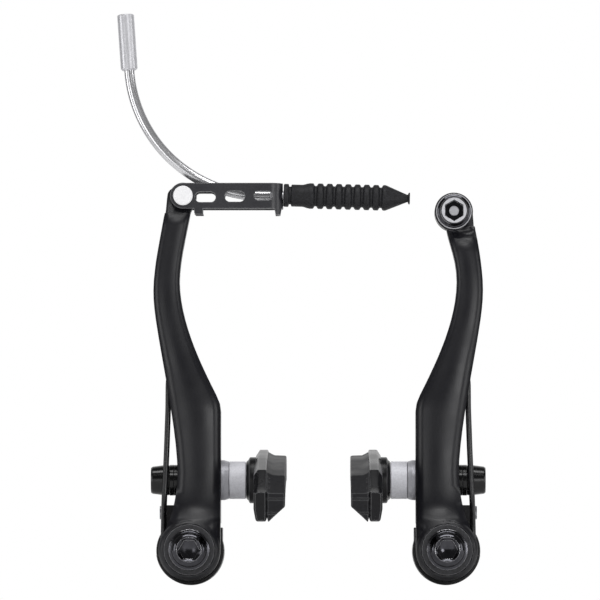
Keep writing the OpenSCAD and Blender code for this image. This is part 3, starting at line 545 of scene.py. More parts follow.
def lathe(
    name: str,
    rings: Sequence[Ring],
    place: Matrix,
    finish: Finish,
    steps: int = 72,
    crease_deg: float = 32.0,
    phase: float = 0.0,
) -> Piece:
    """Turns a closed outline round +Z, then moves it to its place.

    Args:
        name: The piece's name.
        rings: The closed outline, without its first ring again at the end.
        place: Where the axis goes, in metres.
        finish: The piece's finish.
        steps: Steps round the axis.
        crease_deg: Edges sharper than this stay crisp.
        phase: Turn of the hexagons, in radians.

    Returns:
        The turned piece, at the origin.
    """
    shape = bmesh.new()
    pole = 1e-7  # Points that meet on the axis, in metres.
    turns = [2 * math.pi * k / steps for k in range(steps)]
    grid = [[shape.verts.new(place @ ring.point(turn, phase)) for ring in rings] for turn in turns]
    for k, line in enumerate(grid):
        after = grid[(k + 1) % steps]
        for i in range(len(rings)):
            j = (i + 1) % len(rings)
            shape.faces.new((line[i], line[j], after[j], after[i]))
    bmesh.ops.remove_doubles(shape, verts=shape.verts, dist=pole)
    bmesh.ops.recalc_face_normals(shape, faces=shape.faces)
    mesh = bpy.data.meshes.new(name)
    shape.to_mesh(mesh)
    shape.free()
    shade(mesh, crease_deg)
    mesh.materials.append(finish.material())
    return new_piece(name, mesh)


def facing_front(place: Vector) -> Matrix:
    """A place whose +Z points to the viewer, along -Y."""
    return Matrix.Translation(place) @ Matrix.Rotation(math.radians(90), 4, "X")


def smooth_path(points: Sequence[Vector], steps: int) -> list[Vector]:
    """Runs a Catmull-Rom line through points.

    Args:
        points: The points, in order.
        steps: Steps in each stretch between two points.

    Returns:
        The points along the line.
    """
    ends = [2 * points[0] - points[1], *points, 2 * points[-1] - points[-2]]
    path = []
    for a, b, c, d in zip(ends, ends[1:], ends[2:], ends[3:]):
        for k in range(steps):
            t = k / steps
            curve = 2 * b + (c - a) * t + (2 * a - 5 * b + 4 * c - d) * t * t + (3 * b - a - 3 * c + d) * t**3
            path.append(0.5 * curve)
    return [*path, points[-1]]


class Recipe(Enum):
    """The node trees that make pieces following a path or a rule."""

    SWEPT_WIRE = "swept_wire"
    SCREW_THREAD = "screw_thread"


def open_tree(recipe: Recipe, inputs: dict[str, tuple[str, Any]]) -> tuple[bpy.types.NodeTree, bpy.types.Node]:
    """Starts a geometry tree with named inputs and a geometry output.

    Args:
        recipe: The tree's name.
        inputs: Socket type and default by the input's name.

    Returns:
        The tree and its group input node.
    """
    tree = bpy.data.node_groups.new(recipe.value, "GeometryNodeTree")
    tree.interface.new_socket("Geometry", in_out="INPUT", socket_type="NodeSocketGeometry")
    for name, (kind, value) in inputs.items():
        socket = tree.interface.new_socket(name, in_out="INPUT", socket_type=kind)
        if value is not None:
            socket.default_value = value
    tree.interface.new_socket("Geometry", in_out="OUTPUT", socket_type="NodeSocketGeometry")
    return tree, add_node(tree, "NodeGroupInput")


def close_tree(
    tree: bpy.types.NodeTree, enter: bpy.types.Node, swept: bpy.types.NodeSocket, smooth: bool
) -> None:
    """Ends a geometry tree: shading, real geometry, material, output.

    Args:
        tree: The tree.
        enter: Its group input node.
        swept: The geometry that it made.
        smooth: Whether the faces are shaded smooth.
    """
    shaded = add_node(tree, "GeometryNodeSetShadeSmooth", {"Shade Smooth": smooth}, {"Geometry": swept})
    real = add_node(tree, "GeometryNodeRealizeInstances", None, {"Geometry": shaded.outputs[0]})
    painted = add_node(
        tree, "GeometryNodeSetMaterial", None, {"Geometry": real.outputs[0], "Material": enter.outputs["Material"]}
    )
    add_node(tree, "NodeGroupOutput", None, {"Geometry": painted.outputs[0]})


def swept_wire_tree() -> bpy.types.NodeTree:
    """Makes the tree for a round wire along a mesh path.

    Returns:
        The tree, with the inputs Radius, Sides and Material.
    """
    tree, enter = open_tree(
        Recipe.SWEPT_WIRE,
        {
            "Radius": ("NodeSocketFloat", 0.001),
            "Sides": ("NodeSocketInt", 24),
            "Material": ("NodeSocketMaterial", None),
        },
    )
    path = add_node(tree, "GeometryNodeMeshToCurve", None, {"Mesh": enter.outputs["Geometry"]})
    ring = add_node(
        tree,
        "GeometryNodeCurvePrimitiveCircle",
        {"mode": "RADIUS"},
        {"Resolution": enter.outputs["Sides"], "Radius": enter.outputs["Radius"]},
    )
    swept = add_node(
        tree,
        "GeometryNodeCurveToMesh",
        {"Fill Caps": True},
        {"Curve": path.outputs[0], "Profile Curve": ring.outputs["Curve"]},
    )
    close_tree(tree, enter, swept.outputs[0], smooth=True)
    return tree


THREAD_STEPS = 40  # Steps in each turn of a thread.
RIDGE_SIDES = 4  # A square on its corner: half of it stands out of the shank as a sharp ridge.
RIDGE_SHARE = 0.2  # The ridge's reach as a share of the pitch.
RIDGE_SUNK = 0.02  # How far its middle lies under the shank's skin, in mm.


def screw_thread_tree() -> bpy.types.NodeTree:
    """Makes the tree for the ridge of a screw thread, from z 0 up, round +Z.

    Returns:
        The tree, with the inputs Root Radius, Pitch, Turns, Ridge and Material.
    """
    tree, enter = open_tree(
        Recipe.SCREW_THREAD,
        {
            "Root Radius": ("NodeSocketFloat", 0.003),
            "Pitch": ("NodeSocketFloat", 0.001),
            "Turns": ("NodeSocketFloat", 8.0),
            "Ridge": ("NodeSocketFloat", 0.0003),
            "Material": ("NodeSocketMaterial", None),
        },
    )
    climb = {"Value": enter.outputs["Pitch"], "Value_001": enter.outputs["Turns"]}
    rise = add_node(tree, "ShaderNodeMath", {"operation": "MULTIPLY"}, climb)
    helix = add_node(
        tree,
        "GeometryNodeCurveSpiral",
        {"Resolution": THREAD_STEPS},
        {
            "Rotations": enter.outputs["Turns"],
            "Start Radius": enter.outputs["Root Radius"],
            "End Radius": enter.outputs["Root Radius"],
            "Height": rise.outputs[0],
        },
    )
    tooth = add_node(
        tree,
        "GeometryNodeCurvePrimitiveCircle",
        {"mode": "RADIUS", "Resolution": RIDGE_SIDES},
        {"Radius": enter.outputs["Ridge"]},
    )
    swept = add_node(
        tree,
        "GeometryNodeCurveToMesh",
        {"Fill Caps": True},
        {"Curve": helix.outputs[0], "Profile Curve": tooth.outputs["Curve"]},
    )
    close_tree(tree, enter, swept.outputs[0], smooth=False)
    return tree


def grow(name: str, base: bpy.types.Mesh, recipe: Recipe, values: dict[str, Any], place: Matrix) -> Piece:
    """Runs a geometry tree on a base mesh and keeps what it makes as a plain mesh.

    Args:
        name: The piece's name.
        base: The mesh that the tree starts from.
        recipe: The tree.
        values: Values by the tree's input names.
        place: Where the result goes, in metres.

    Returns:
        The piece, at the origin, with its place in its mesh.
    """
    makers: dict[Recipe, Callable[[], bpy.types.NodeTree]] = {
        Recipe.SWEPT_WIRE: swept_wire_tree,
        Recipe.SCREW_THREAD: screw_thread_tree,
    }
    tree = bpy.data.node_groups.get(recipe.value) or makers[recipe]()
    seed = new_piece(name + "_seed", base)
    modifier = seed.modifiers.new("grow", "NODES")
    modifier.node_group = tree
    sockets = {s.name: s.identifier for s in tree.interface.items_tree if getattr(s, "in_out", "") == "INPUT"}
    for key, value in values.items():
        modifier[sockets[key]] = value
    graph = bpy.context.evaluated_depsgraph_get()
    mesh = bpy.data.meshes.new_from_object(seed.evaluated_get(graph), depsgraph=graph)
    mesh.name = name
    mesh.transform(place)
    bpy.data.objects.remove(seed)
    return new_piece(name, mesh)


def path_mesh(name: str, points: Sequence[Vector]) -> bpy.types.Mesh:
    """Joins points by one edge after another.

    Args:
        name: The mesh's name.
        points: The points, in order.

    Returns:
        The mesh, without faces.
    """
    mesh = bpy.data.meshes.new(name)
    mesh.from_pydata([tuple(p) for p in points], [(i, i + 1) for i in range(len(points) - 1)], [])
    return mesh


def thread(
    name: str,
    body: str,
    finish: Finish,
    start: Vector,
    axis: Vector,
    radius: float,
    pitch: float,
    length: float,
) -> Piece:
    """A thread's ridge on a plain CAD shank.

    Args:
        name: The piece's name.
        body: The CAD body that carries the screw.
        finish: The screw's finish.
        start: Where the thread begins, in metres.
        axis: Which way it runs.
        radius: The shank's radius in mm, where the ridge sits half sunk.
        pitch: Rise for each turn in mm.
        length: Length of the thread in mm.

    Returns:
        The thread, riding on its body.
    """
    values = {
        "Root Radius": (radius - RIDGE_SUNK) * MM,
        "Pitch": pitch * MM,
        "Turns": length / pitch,
        "Ridge": pitch * RIDGE_SHARE * MM,
        "Material": finish.material(),
    }
    place = Matrix.Translation(start) @ axis.to_track_quat("Z", "X").to_matrix().to_4x4()
    seed = path_mesh(name, [Vector(), Vector((0, 0, MM))])
    return settle(grow(name, seed, Recipe.SCREW_THREAD, values, place), body)


@dataclass
class PivotStation:
    """What stays on the frame's boss: bolt, bushing, spring case, locating pin and tension screw."""

    side: Side
    bushing_front: float = 10.6
    bolt_length: float = 17.5
    flange_r: float = 6.35
    flange_t: float = 1.2
    head_h: float = 3.2
    mouth_r: float = 3.75
    socket: float = 5.9
    bolt_thread_r: float = 2.95
    bolt_thread_from: float = -9.0
    bolt_thread_len: float = 15.6
    bolt_pitch: float = 1.0
    tension_from: Point = (1.65, 11.8, 12.1)
    tension_r: float = 1.44
    tension_len: float = 0.9
    tension_pitch: float = 0.5

    def bolt_rings(self) -> list[Ring]:
        """Draws the bolt's outline, from its tip over the flange and the dome into the socket.

        Returns:
            The closed outline.
        """
        thread_r, flange, top = self.bolt_thread_r, self.flange_r, self.head_h
        rings = circles(
            [
                (0, -self.bolt_length), (thread_r - 0.5, -self.bolt_length), (thread_r, -self.bolt_length + 0.5),
                (thread_r, 0), (flange - 0.15, 0), (flange, 0.15), (flange, self.flange_t - 0.2),
                (flange - 0.06, self.flange_t - 0.06), (flange - 0.2, self.flange_t), (5.95, self.flange_t),
                (5.75, self.flange_t + 0.04), (5.55, self.flange_t + 0.16), (5.42, self.flange_t + 0.36),
                (5.32, self.flange_t + 0.6), (5.16, top - 1.05), (4.94, top - 0.76), (4.68, top - 0.5),
                (4.4, top - 0.29), (4.12, top - 0.12), (self.mouth_r + 0.1, top), (self.mouth_r - 0.1, top - 0.08),
            ]
        )  # fmt: skip
        rings += [Ring(self.socket, top - 0.6, True), Ring(self.socket, top - 2.5, True)]
        return [*rings, Ring(self.socket - 0.2, top - 2.6, True), Ring(1.4, top - 2.65), Ring(0, top - 3.1)]

    def build(self) -> None:
        """Builds the bolt, dresses the station's nodes and cuts its threads."""
        word = self.side.word
        head = facing_front(self.side.at(0, -self.bushing_front, 0))
        rings = self.bolt_rings()
        bolt = lathe(f"{word}_pivot_bolt_domed", rings, head, BLACK_CHROME, FINE_STEPS, HEAD_CREASE)
        settle(bolt, "pivots", [f"{word}_pivot_bolt"])
        dress(f"{word}_pivot_bushing", TURNED_STEEL)
        dress(f"{word}_locating_pin", TURNED_STEEL)
        dress(f"{word}_spring_case", NYLON_CASE)
        dress(f"{word}_tension_screw", ZINC_SCREW)
        dress(f"{word}_dust_washer", DUST_WASHER)
        thread(
            f"{word}_pivot_bolt_thread",
            "pivots",
            BLACK_CHROME,
            self.side.at(0, self.bolt_thread_from, 0),
            BACK,
            self.bolt_thread_r,
            self.bolt_pitch,
            self.bolt_thread_len,
        )
        thread(
            f"{word}_tension_screw_thread",
            f"{word}_screw",
            ZINC_SCREW,
            self.side.at(*self.tension_from),
            Vector((self.side.value, 0, 0)),
            self.tension_r,
            self.tension_pitch,
            self.tension_len,
        )


@dataclass
class BrakeArm:
    """A forged arm whose lofted facets are shaded as one surface."""

    side: Side
    crease_deg: float = 62.0

    def build(self) -> None:
        """Builds the arm's smooth copy in place of its CAD node."""
        node = f"{self.side.word}_arm"
        piece = merged_copy(node, f"{node}_forging", FORGING, self.crease_deg)
        settle(piece, f"{self.side.word}_lever", [node])


@dataclass
class ReturnSpring:
    """A round wire: four turns round the hub, then a leg up into the arm's back. Points are [u, y, v] in mm."""

    side: Side
    wire_r: float = 0.9
    coil_r: float = 8.35
    coil_y: float = 3.2
    pitch: float = 2.1
    turns: int = 4
    turn_steps: int = 48
    leg_steps: int = 5
    wire_sides: int = 20
    leg: list[Point] = field(
        default_factory=lambda: [
            (8.33, 3.15, 2.5), (8.3, 3.05, 5), (8.25, 2.85, 7.5), (8.2, 2, 9.6), (8.15, 0.7, 11.6), (8.05, -0.9, 13.3),
            (7.95, -2.25, 15), (7.85, -2.95, 17), (7.7, -3, 19.5), (7.4, -3, 26), (7.15, -3, 32), (6.95, -3, 38),
            (6.75, -3, 44), (6.7, -3, 49), (6.65, -3, 52), (6.35, -3, 54.3), (5.85, -3, 55.8), (5.4, -3, 57.2),
            (5.3, -3, 59.5),
        ]
    )  # fmt: skip

    def path(self) -> list[Vector]:
        """Lays the wire's middle line: the coil from the back to the front, then the leg.

        Returns:
            Points along the line, in metres.
        """
        count = self.turns * self.turn_steps
        coil = []
        for i in range(count):
            left = self.turns * (1 - i / count)
            turn = -2 * math.pi * left
            out, up = self.coil_r * math.cos(turn), self.coil_r * math.sin(turn)
            coil.append(self.side.at(out, self.coil_y + self.pitch * left, up))
        joint = self.side.at(self.coil_r, self.coil_y, 0)
        return coil + smooth_path([joint, *(self.side.at(*p) for p in self.leg)], self.leg_steps)

    def build(self) -> None:
        """Sweeps the wire in place of its faceted CAD node."""
        node = f"{self.side.word}_return_spring"
        values = {"Radius": self.wire_r * MM, "Sides": self.wire_sides, "Material": LACQUER_WIRE.material()}
        piece = grow(f"{node}_wire", path_mesh(node, self.path()), Recipe.SWEPT_WIRE, values, Matrix())
        settle(piece, f"{self.side.word}_lever", [node])


@dataclass
class PadClamp:
    """Nut, matching domes and cups, and the spacer that set the pad's angle."""

    side: Side

    def build(self) -> None:
        """Dresses the stack of washers."""
        word = self.side.word
        dress(f"{word}_pad_nut", GLOSS_NUT)
        dress(f"{word}_outer_cup_washer", GLOSS_NUT)
        dress(f"{word}_outer_dome_washer", GLOSS_NUT)
        dress(f"{word}_inner_dome_washer", PLATED_WASHER)
        dress(f"{word}_cup_spacer", BLASTED_SPACER)


@dataclass(frozen=True)
class Row:
    """One level of a pad's section in mm: its height and where its thickness starts and ends."""

    height: float
    inner: float
    outer: float


@dataclass
class CurvedBlock:
    """A block that follows the rim, with sloped ends, eased edges and moulded grooves. Sizes in mm."""

    side: Side
    base_u: float
    rows: list[Row]
    grooves: tuple[float, ...] = ()
    ribs: tuple[float, ...] = ()
    rim_r: float = 282.0
    length: float = 70.0
    tilt_deg: float = 8.5
    rise: float = 0.5
    post: tuple[float, float] = PAD_POST
    slope_from: float = 27.0
    slope_top: float = 7.3
    slope_end: float = 2.1
    slope_base: float = 0.6
    ease: float = 0.4
    steps: int = 40
    columns: int = 5
    groove_depth: float = 0.35
    groove_half: float = 0.25
    slope_ease: float = 0.5
    rib_edges: tuple[float, float] = (0.2, 0.45)
    crease_deg: float = 28.0

    def _spot(self, y: float, height: float, depth: float) -> Vector:
        """Bends a place round the rim, tilts it and sets it on the post.

        Args:
            y: Distance along the block.
            height: Height above its middle line.
            depth: Distance from its back towards the rim.

        Returns:
            The place, in metres.
        """
        turn = y / self.rim_r
        reach = self.rim_r + height
        along, up = reach * math.sin(turn), reach * math.cos(turn) - self.rim_r + self.rise
        tilt = math.radians(self.tilt_deg)
        back = along * math.cos(tilt) - up * math.sin(tilt)
        return self.side.at(
            self.base_u - depth, self.post[0] + back, self.post[1] + along * math.sin(tilt) + up * math.cos(tilt)
        )

    def _stations(self) -> list[float]:
        """Spaces the block's sections, closer together near its ends and across each rib.

        Returns:
            Places along the block.
        """
        half = self.length / 2
        cuts = {round(-half + self.length * k / self.steps, 3) for k in range(self.steps + 1)}
        cuts |= {half - self.ease, self.slope_from}
        cuts |= {self.slope_from - self.slope_ease, self.slope_from + self.slope_ease}
        cuts |= {rib + sign * edge for rib in self.ribs for edge in self.rib_edges for sign in (-1, 1)}
        return sorted({round(sign * abs(c), 3) for c in cuts for sign in (-1, 1)})

    def _level(self, y: float, height: float) -> float:
        """Lowers the heights above the base where an end slopes down.

        Args:
            y: Distance along the block.
            height: Height at the block's middle.

        Returns:
            The height at that place.
        """
        run = self.length / 2 - self.slope_from
        share = max(0.0, (abs(y) - self.slope_from) / run)
        if share == 0.0 or height < self.slope_base:
            return height
        ceiling = self.slope_top + (self.slope_end - self.slope_top) * share
        shrink = (ceiling - self.slope_base) / (self.slope_top - self.slope_base)
        return self.slope_base + (height - self.slope_base) * shrink

    def mesh(self, name: str) -> bpy.types.Mesh:
        """Builds the block's skin as one closed grid.

        Args:
            name: The mesh's name.

        Returns:
            The mesh, with its place in it.
        """
        stations, last_row, last_col = self._stations(), len(self.rows) - 1, self.columns - 1
        half, last = self.length / 2, len(stations) - 1
        shape = bmesh.new()
        made: dict[tuple[int, int, int], bmesh.types.BMVert] = {}

        def corner(j: int, i: int, k: int) -> bmesh.types.BMVert:
            """Finds or makes the skin's vertex.

            Args:
                j: The station.
                i: The row.
                k: The column.

            Returns:
                The vertex.
            """
            if (j, i, k) not in made:
                y, row = stations[j], self.rows[i]
                height, inner, outer = row.height, row.inner, row.outer
                if j in (0, last):
                    ease = min(self.ease, (outer - inner) / 3)
                    inner, outer = inner + ease, outer - ease
                    height += self.ease * ((i == 0) - (i == last_row))
                    if any(abs(row.height - groove) < self.groove_half for groove in self.grooves):
                        y -= math.copysign(self.groove_depth, y)
                depth = inner + (outer - inner) * k / last_col
                level = self._level(stations[j], height)
                if i == last_row and any(abs(abs(stations[j]) - rib) < self.groove_half for rib in self.ribs):
                    level -= self.groove_depth
                made[j, i, k] = shape.verts.new(self._spot(max(-half, min(half, y)), level, depth))
            return made[j, i, k]

        def quad(*keys: tuple[int, int, int]) -> None:
            """Adds one face of the skin."""
            shape.faces.new([corner(*key) for key in keys])

        for j in range(last):
            for i in range(last_row):
                for k in (0, last_col):
                    quad((j, i, k), (j + 1, i, k), (j + 1, i + 1, k), (j, i + 1, k))
            for k in range(last_col):
                for i in (0, last_row):
                    quad((j, i, k), (j + 1, i, k), (j + 1, i, k + 1), (j, i, k + 1))
        for i in range(last_row):
            for k in range(last_col):
                for j in (0, last):
                    quad((j, i, k), (j, i + 1, k), (j, i + 1, k + 1), (j, i, k + 1))
        bmesh.ops.recalc_face_normals(shape, faces=shape.faces)
        mesh = bpy.data.meshes.new(name)
        shape.to_mesh(mesh)
        shape.free()
        shade(mesh, self.crease_deg)
        return mesh


GROOVE_EDGES = (-0.4, -0.2, 0.2, 0.4)  # Lip, floor, floor and lip of a groove about its height, in mm.


def groove_rows(rows: Sequence[Row], grooves: Sequence[float]) -> list[Row]:
    """Adds the rows that the edges of each groove need.

    Args:
        rows: The rows of the plain block.
        grooves: The height of each groove.

    Returns:
        All rows, from the lowest up.
    """
    made = list(rows)
    for groove in grooves:
        low = max((r for r in rows if r.height < groove), key=lambda r: r.height)
        high = min((r for r in rows if r.height > groove), key=lambda r: r.height)
        for height in (groove + edge for edge in GROOVE_EDGES):
            share = (height - low.height) / (high.height - low.height)
            inner, outer = (a + (b - a) * share for a, b in ((low.inner, high.inner), (low.outer, high.outer)))
            made.append(Row(height, inner, outer))
    return sorted(made, key=lambda r: r.height)


@dataclass
class BrakePad:
    """Post, holder and rubber block. Sizes in mm."""

    side: Side
    holder_u: float = -20.2
    rubber_u: float = -24.3
    boss_r: float = 7.5
    boss_t: float = 2.6
    boss_drop: float = 0.6
    bore_r: float = 3.05
    holder_ease: float = 0.55
    grooves: tuple[float, ...] = (-4.6, -0.1)
    ribs: tuple[float, ...] = (28.6, 30.2, 32.6)
    holder_rows: list[Row] = field(
        default_factory=lambda: [
            Row(-7.3, 1.2, 3.5), Row(-7.15, 0.9, 3.75), Row(-6.8, 0.65, 3.95), Row(-6.3, 0.5, 4.1), Row(-3.3, 0, 4.1),
            Row(0.6, 0, 4.1), Row(4.9, 0, 4.1), Row(5.5, 0.15, 4.1), Row(6.5, 0.8, 4.05), Row(7.1, 1.15, 3.9),
            Row(7.3, 1.5, 3.6),
        ]
    )  # fmt: skip
    rubber_rows: list[Row] = field(
        default_factory=lambda: [
            Row(-7.3, 0.4, 0.6), Row(-5.9, 0, 2.0), Row(-3.1, 0, 5.0), Row(-2.7, 0, 5.45), Row(-2.3, 0, 5.6),
            Row(0.6, 0, 5.6), Row(5.0, 0, 5.6), Row(5.3, 0, 5.45), Row(5.45, 0, 5.0), Row(5.55, 0, 1.9),
            Row(6.0, 0, 0.9), Row(6.5, 0, 0.1),
        ]
    )  # fmt: skip

    def build(self) -> None:
        """Builds the holder with its boss and the rubber, and dresses the post."""
        word, body = self.side.word, f"{self.side.word}_pad"
        dress(f"{word}_pad_post", ZINC_SCREW)
        plate = CurvedBlock(self.side, self.holder_u, self.holder_rows, ease=self.holder_ease)
        holder = plate.mesh(f"{word}_pad_holder_pressed")
        holder.materials.append(COATED_HOLDER.material())
        settle(new_piece(holder.name, holder), body, [f"{word}_pad_holder"])
        rubber_rows = groove_rows(self.rubber_rows, self.grooves)
        block = CurvedBlock(self.side, self.rubber_u, rubber_rows, self.grooves, self.ribs)
        rubber = block.mesh(f"{word}_pad_rubber_moulded")
        rubber.materials.append(BRAKE_RUBBER.material())
        settle(new_piece(rubber.name, rubber), body, [f"{word}_pad_rubber"])
        centre = self.side.at(self.holder_u, *PAD_POST)
        place = Matrix.Translation(centre) @ Matrix.Rotation(self.side.value * math.radians(90), 4, "Y")
        edge, top = self.boss_r - self.boss_drop / 2, self.boss_t
        rings = circles(
            [
                (self.bore_r, -0.4), (edge, -0.4), (edge, 1.35), (edge - 0.1, 1.6), (edge - 0.35, 1.75),
                (edge - 0.9, 2.0), (6.0, top - 0.2), (5.8, top), (self.bore_r, top),
            ]
        )  # fmt: skip
        boss = lathe(f"{word}_pad_holder_boss", rings, place, COATED_HOLDER, FINE_STEPS)
        settle(boss, body)


@dataclass
class CableLink:
    """The folded link on its pin, with the guide pipe's parts."""

    def build(self) -> None:
        """Dresses the link and the guide."""
        dress("link_bracket", CHARCOAL_SHEET)
        dress("link_pin", TUMBLED_PIN)
        dress("guide_pipe", DRAWN_PIPE)
        dress("pipe_liner", LINER)
        dress("pipe_ferrule", BRUSHED_FERRULE)
        dress("pipe_tip", CLAMP_STEEL)


@dataclass
class BellowsBoot:
    """The rubber boot, with rounded folds. Sizes in mm, measured along its own axis from the link's nose."""

    start: Point = (-10.6, 0.0, 111.0)
    tilt_deg: float = 1.5
    collar_r: float = 3.6
    collar_len: float = 1.4
    groove_r: float = 2.8
    groove_len: float = 0.8
    barrel_r: float = 3.45
    barrel_len: float = 3.6
    flare_len: float = 1.9
    crest_r: float = 4.0
    valley_r: float = 3.2
    pitch: float = 2.9
    crests: int = 8
    cone_len: float = 8.3
    cone_end_r: float = 1.1
    lip_r: float = 1.85
    lip_len: float = 0.7
    wall: float = 0.9
    bore_r: float = 0.8
    steps: int = 72
    crease_deg: float = 50.0

    def profile(self) -> Profile:
        """Draws the closed outline, from the collar out to the lip and back inside.

        Returns:
            The outline, as radius and height.
        """
        z = self.collar_len
        line: Profile = [(self.collar_r - 0.3, -0.2), (self.collar_r, 0.05), (self.collar_r, z - 0.2)]
        line += [(self.collar_r - 0.2, z), (self.groove_r, z + 0.1), (self.groove_r, z + self.groove_len - 0.1)]
        z += self.groove_len
        line += [(self.barrel_r - 0.15, z), (self.barrel_r, z + 0.2), (self.barrel_r, z + self.barrel_len)]
        folds = z + self.barrel_len + self.flare_len
        line += [(self.barrel_r + 0.18, folds - 1.2), (self.crest_r - 0.15, folds - 0.5)]
        for i in range(self.crests):
            base = folds + i * self.pitch
            for share, height in (
                (0.0, 0.9), (0.06, 1.0), (0.4, 1.0), (0.47, 0.93), (0.54, 0.6), (0.6, 0.15), (0.66, 0.0),
                (0.8, 0.0), (0.86, 0.15), (0.92, 0.6),
            ):  # fmt: skip
                line.append((self.valley_r + (self.crest_r - self.valley_r) * height, base + share * self.pitch))
        cone = folds + self.crests * self.pitch - 0.6
        line += [(self.crest_r - 0.08, cone + 0.5), (self.crest_r, cone + 0.75), (self.crest_r, cone + 1.3)]
        line += [(self.crest_r - 0.12, cone + 1.65)]
        end = cone + self.cone_len
        mouth = end + self.lip_len
        line += [(self.cone_end_r + 0.1, end - 0.25), (self.cone_end_r + 0.05, end), (self.lip_r - 0.15, end + 0.25)]
        line += [(self.lip_r, end + 0.4), (self.lip_r, mouth - 0.1), (self.lip_r - 0.1, mouth)]
        line += [(self.bore_r, mouth), (self.bore_r, end - 0.6), (self.valley_r - self.wall, cone)]
        line += [(self.valley_r - self.wall, folds - self.flare_len), (2.05, z), (1.95, -0.2)]
        return line

    def build(self) -> None:
        """Turns the boot in place of its CAD node."""
        lean = Matrix.Rotation(math.radians(90 + self.tilt_deg), 4, "Y")
        place = Matrix.Translation(Vector(self.start) * MM) @ lean
        rings = circles(self.profile())
        piece = lathe("cable_boot_bellows", rings, place, BELLOWS_RUBBER, self.steps, self.crease_deg)
        settle(piece, "guide", ["cable_boot"])


@dataclass
class CableAnchor:
    """The bolt and washer that clamp the cable on the right arm."""

    x: float = 42.4
    z: float = 105.8
    thread_from: float = 5.9
    seat: float = -2.1
    thread_len: float = 9.1
    flange_r: float = 5.25
    head_r: float = 3.95
    head_h: float = 4.4
    socket: float = 5.8
    core_r: float = 1.55
    thread_r: float = 2.44
    pitch: float = 0.5
    tail_len: float = 0.9
    phase: float = math.radians(30)

    def head_rings(self) -> list[Ring]:
        """Draws the bolt's outline, from its tip over the flange into the socket, without its bare face and core.

        Returns:
            The closed outline.
        """
        top = self.head_h
        rings = circles(
            [
                (0, -self.thread_len), (2.1, -self.thread_len), (2.5, -self.thread_len + 0.4), (2.5, 0),
                (self.flange_r - 0.1, 0), (self.flange_r, 0.1), (self.flange_r, 0.6), (self.flange_r - 0.1, 0.85),
                (self.flange_r - 0.35, 1.0), (4.75, 1.08), (4.5, 1.3), (4.38, 1.7), (4.3, top - 0.6),
                (4.2, top - 0.2), (self.head_r, top),
            ]
        )  # fmt: skip
        rings += [Ring(self.socket, top, True), Ring(self.socket, top - 2.6, True)]
        return [*rings, Ring(0, top - 2.8)]

    def build(self) -> None:
        """Builds the bolt with its machined face, dresses the washer and cuts the thread where it leaves the arm."""
        dress("cable_washer", CLAMP_STEEL)
        place = facing_front(Vector((self.x, self.seat, self.z)) * MM)
        rings = self.head_rings()
        bolt = lathe("cable_bolt_head", rings, place, BLACK_CHROME, FINE_STEPS, HEAD_CREASE, self.phase)
        settle(bolt, "right_lever", ["cable_bolt"])
        top = self.head_h
        face = [Ring(self.head_r - 0.05, top - 0.05), Ring(self.head_r - 0.05, top + 0.04)]
        face += [Ring(self.socket + 0.06, top + 0.04, True), Ring(self.socket + 0.06, top - 0.05, True)]
        plate = lathe("cable_bolt_machined_face", face, place, CLAMP_STEEL, FINE_STEPS, phase=self.phase)
        settle(plate, "right_lever")
        core = [(0, top - 3), (self.core_r, top - 3), (self.core_r, top - 2.2)]
        core += [(self.core_r - 0.15, top - 2.05), (0, top - 2.05)]
        settle(lathe("cable_bolt_core", circles(core), place, CLAMP_STEEL), "right_lever")
        thread(
            "cable_bolt_thread",
            "right_lever",
            BLACK_CHROME,
            Vector((self.x, self.thread_from, self.z)) * MM,
            BACK,
            self.thread_r,
            self.pitch,
            self.tail_len,
        )


@dataclass(frozen=True)
class Lamp:
    """A soft lamp: where it is and how large, in metres, and how strong."""

    name: str
    place: Point
    width: float
    height: float
    watts: float


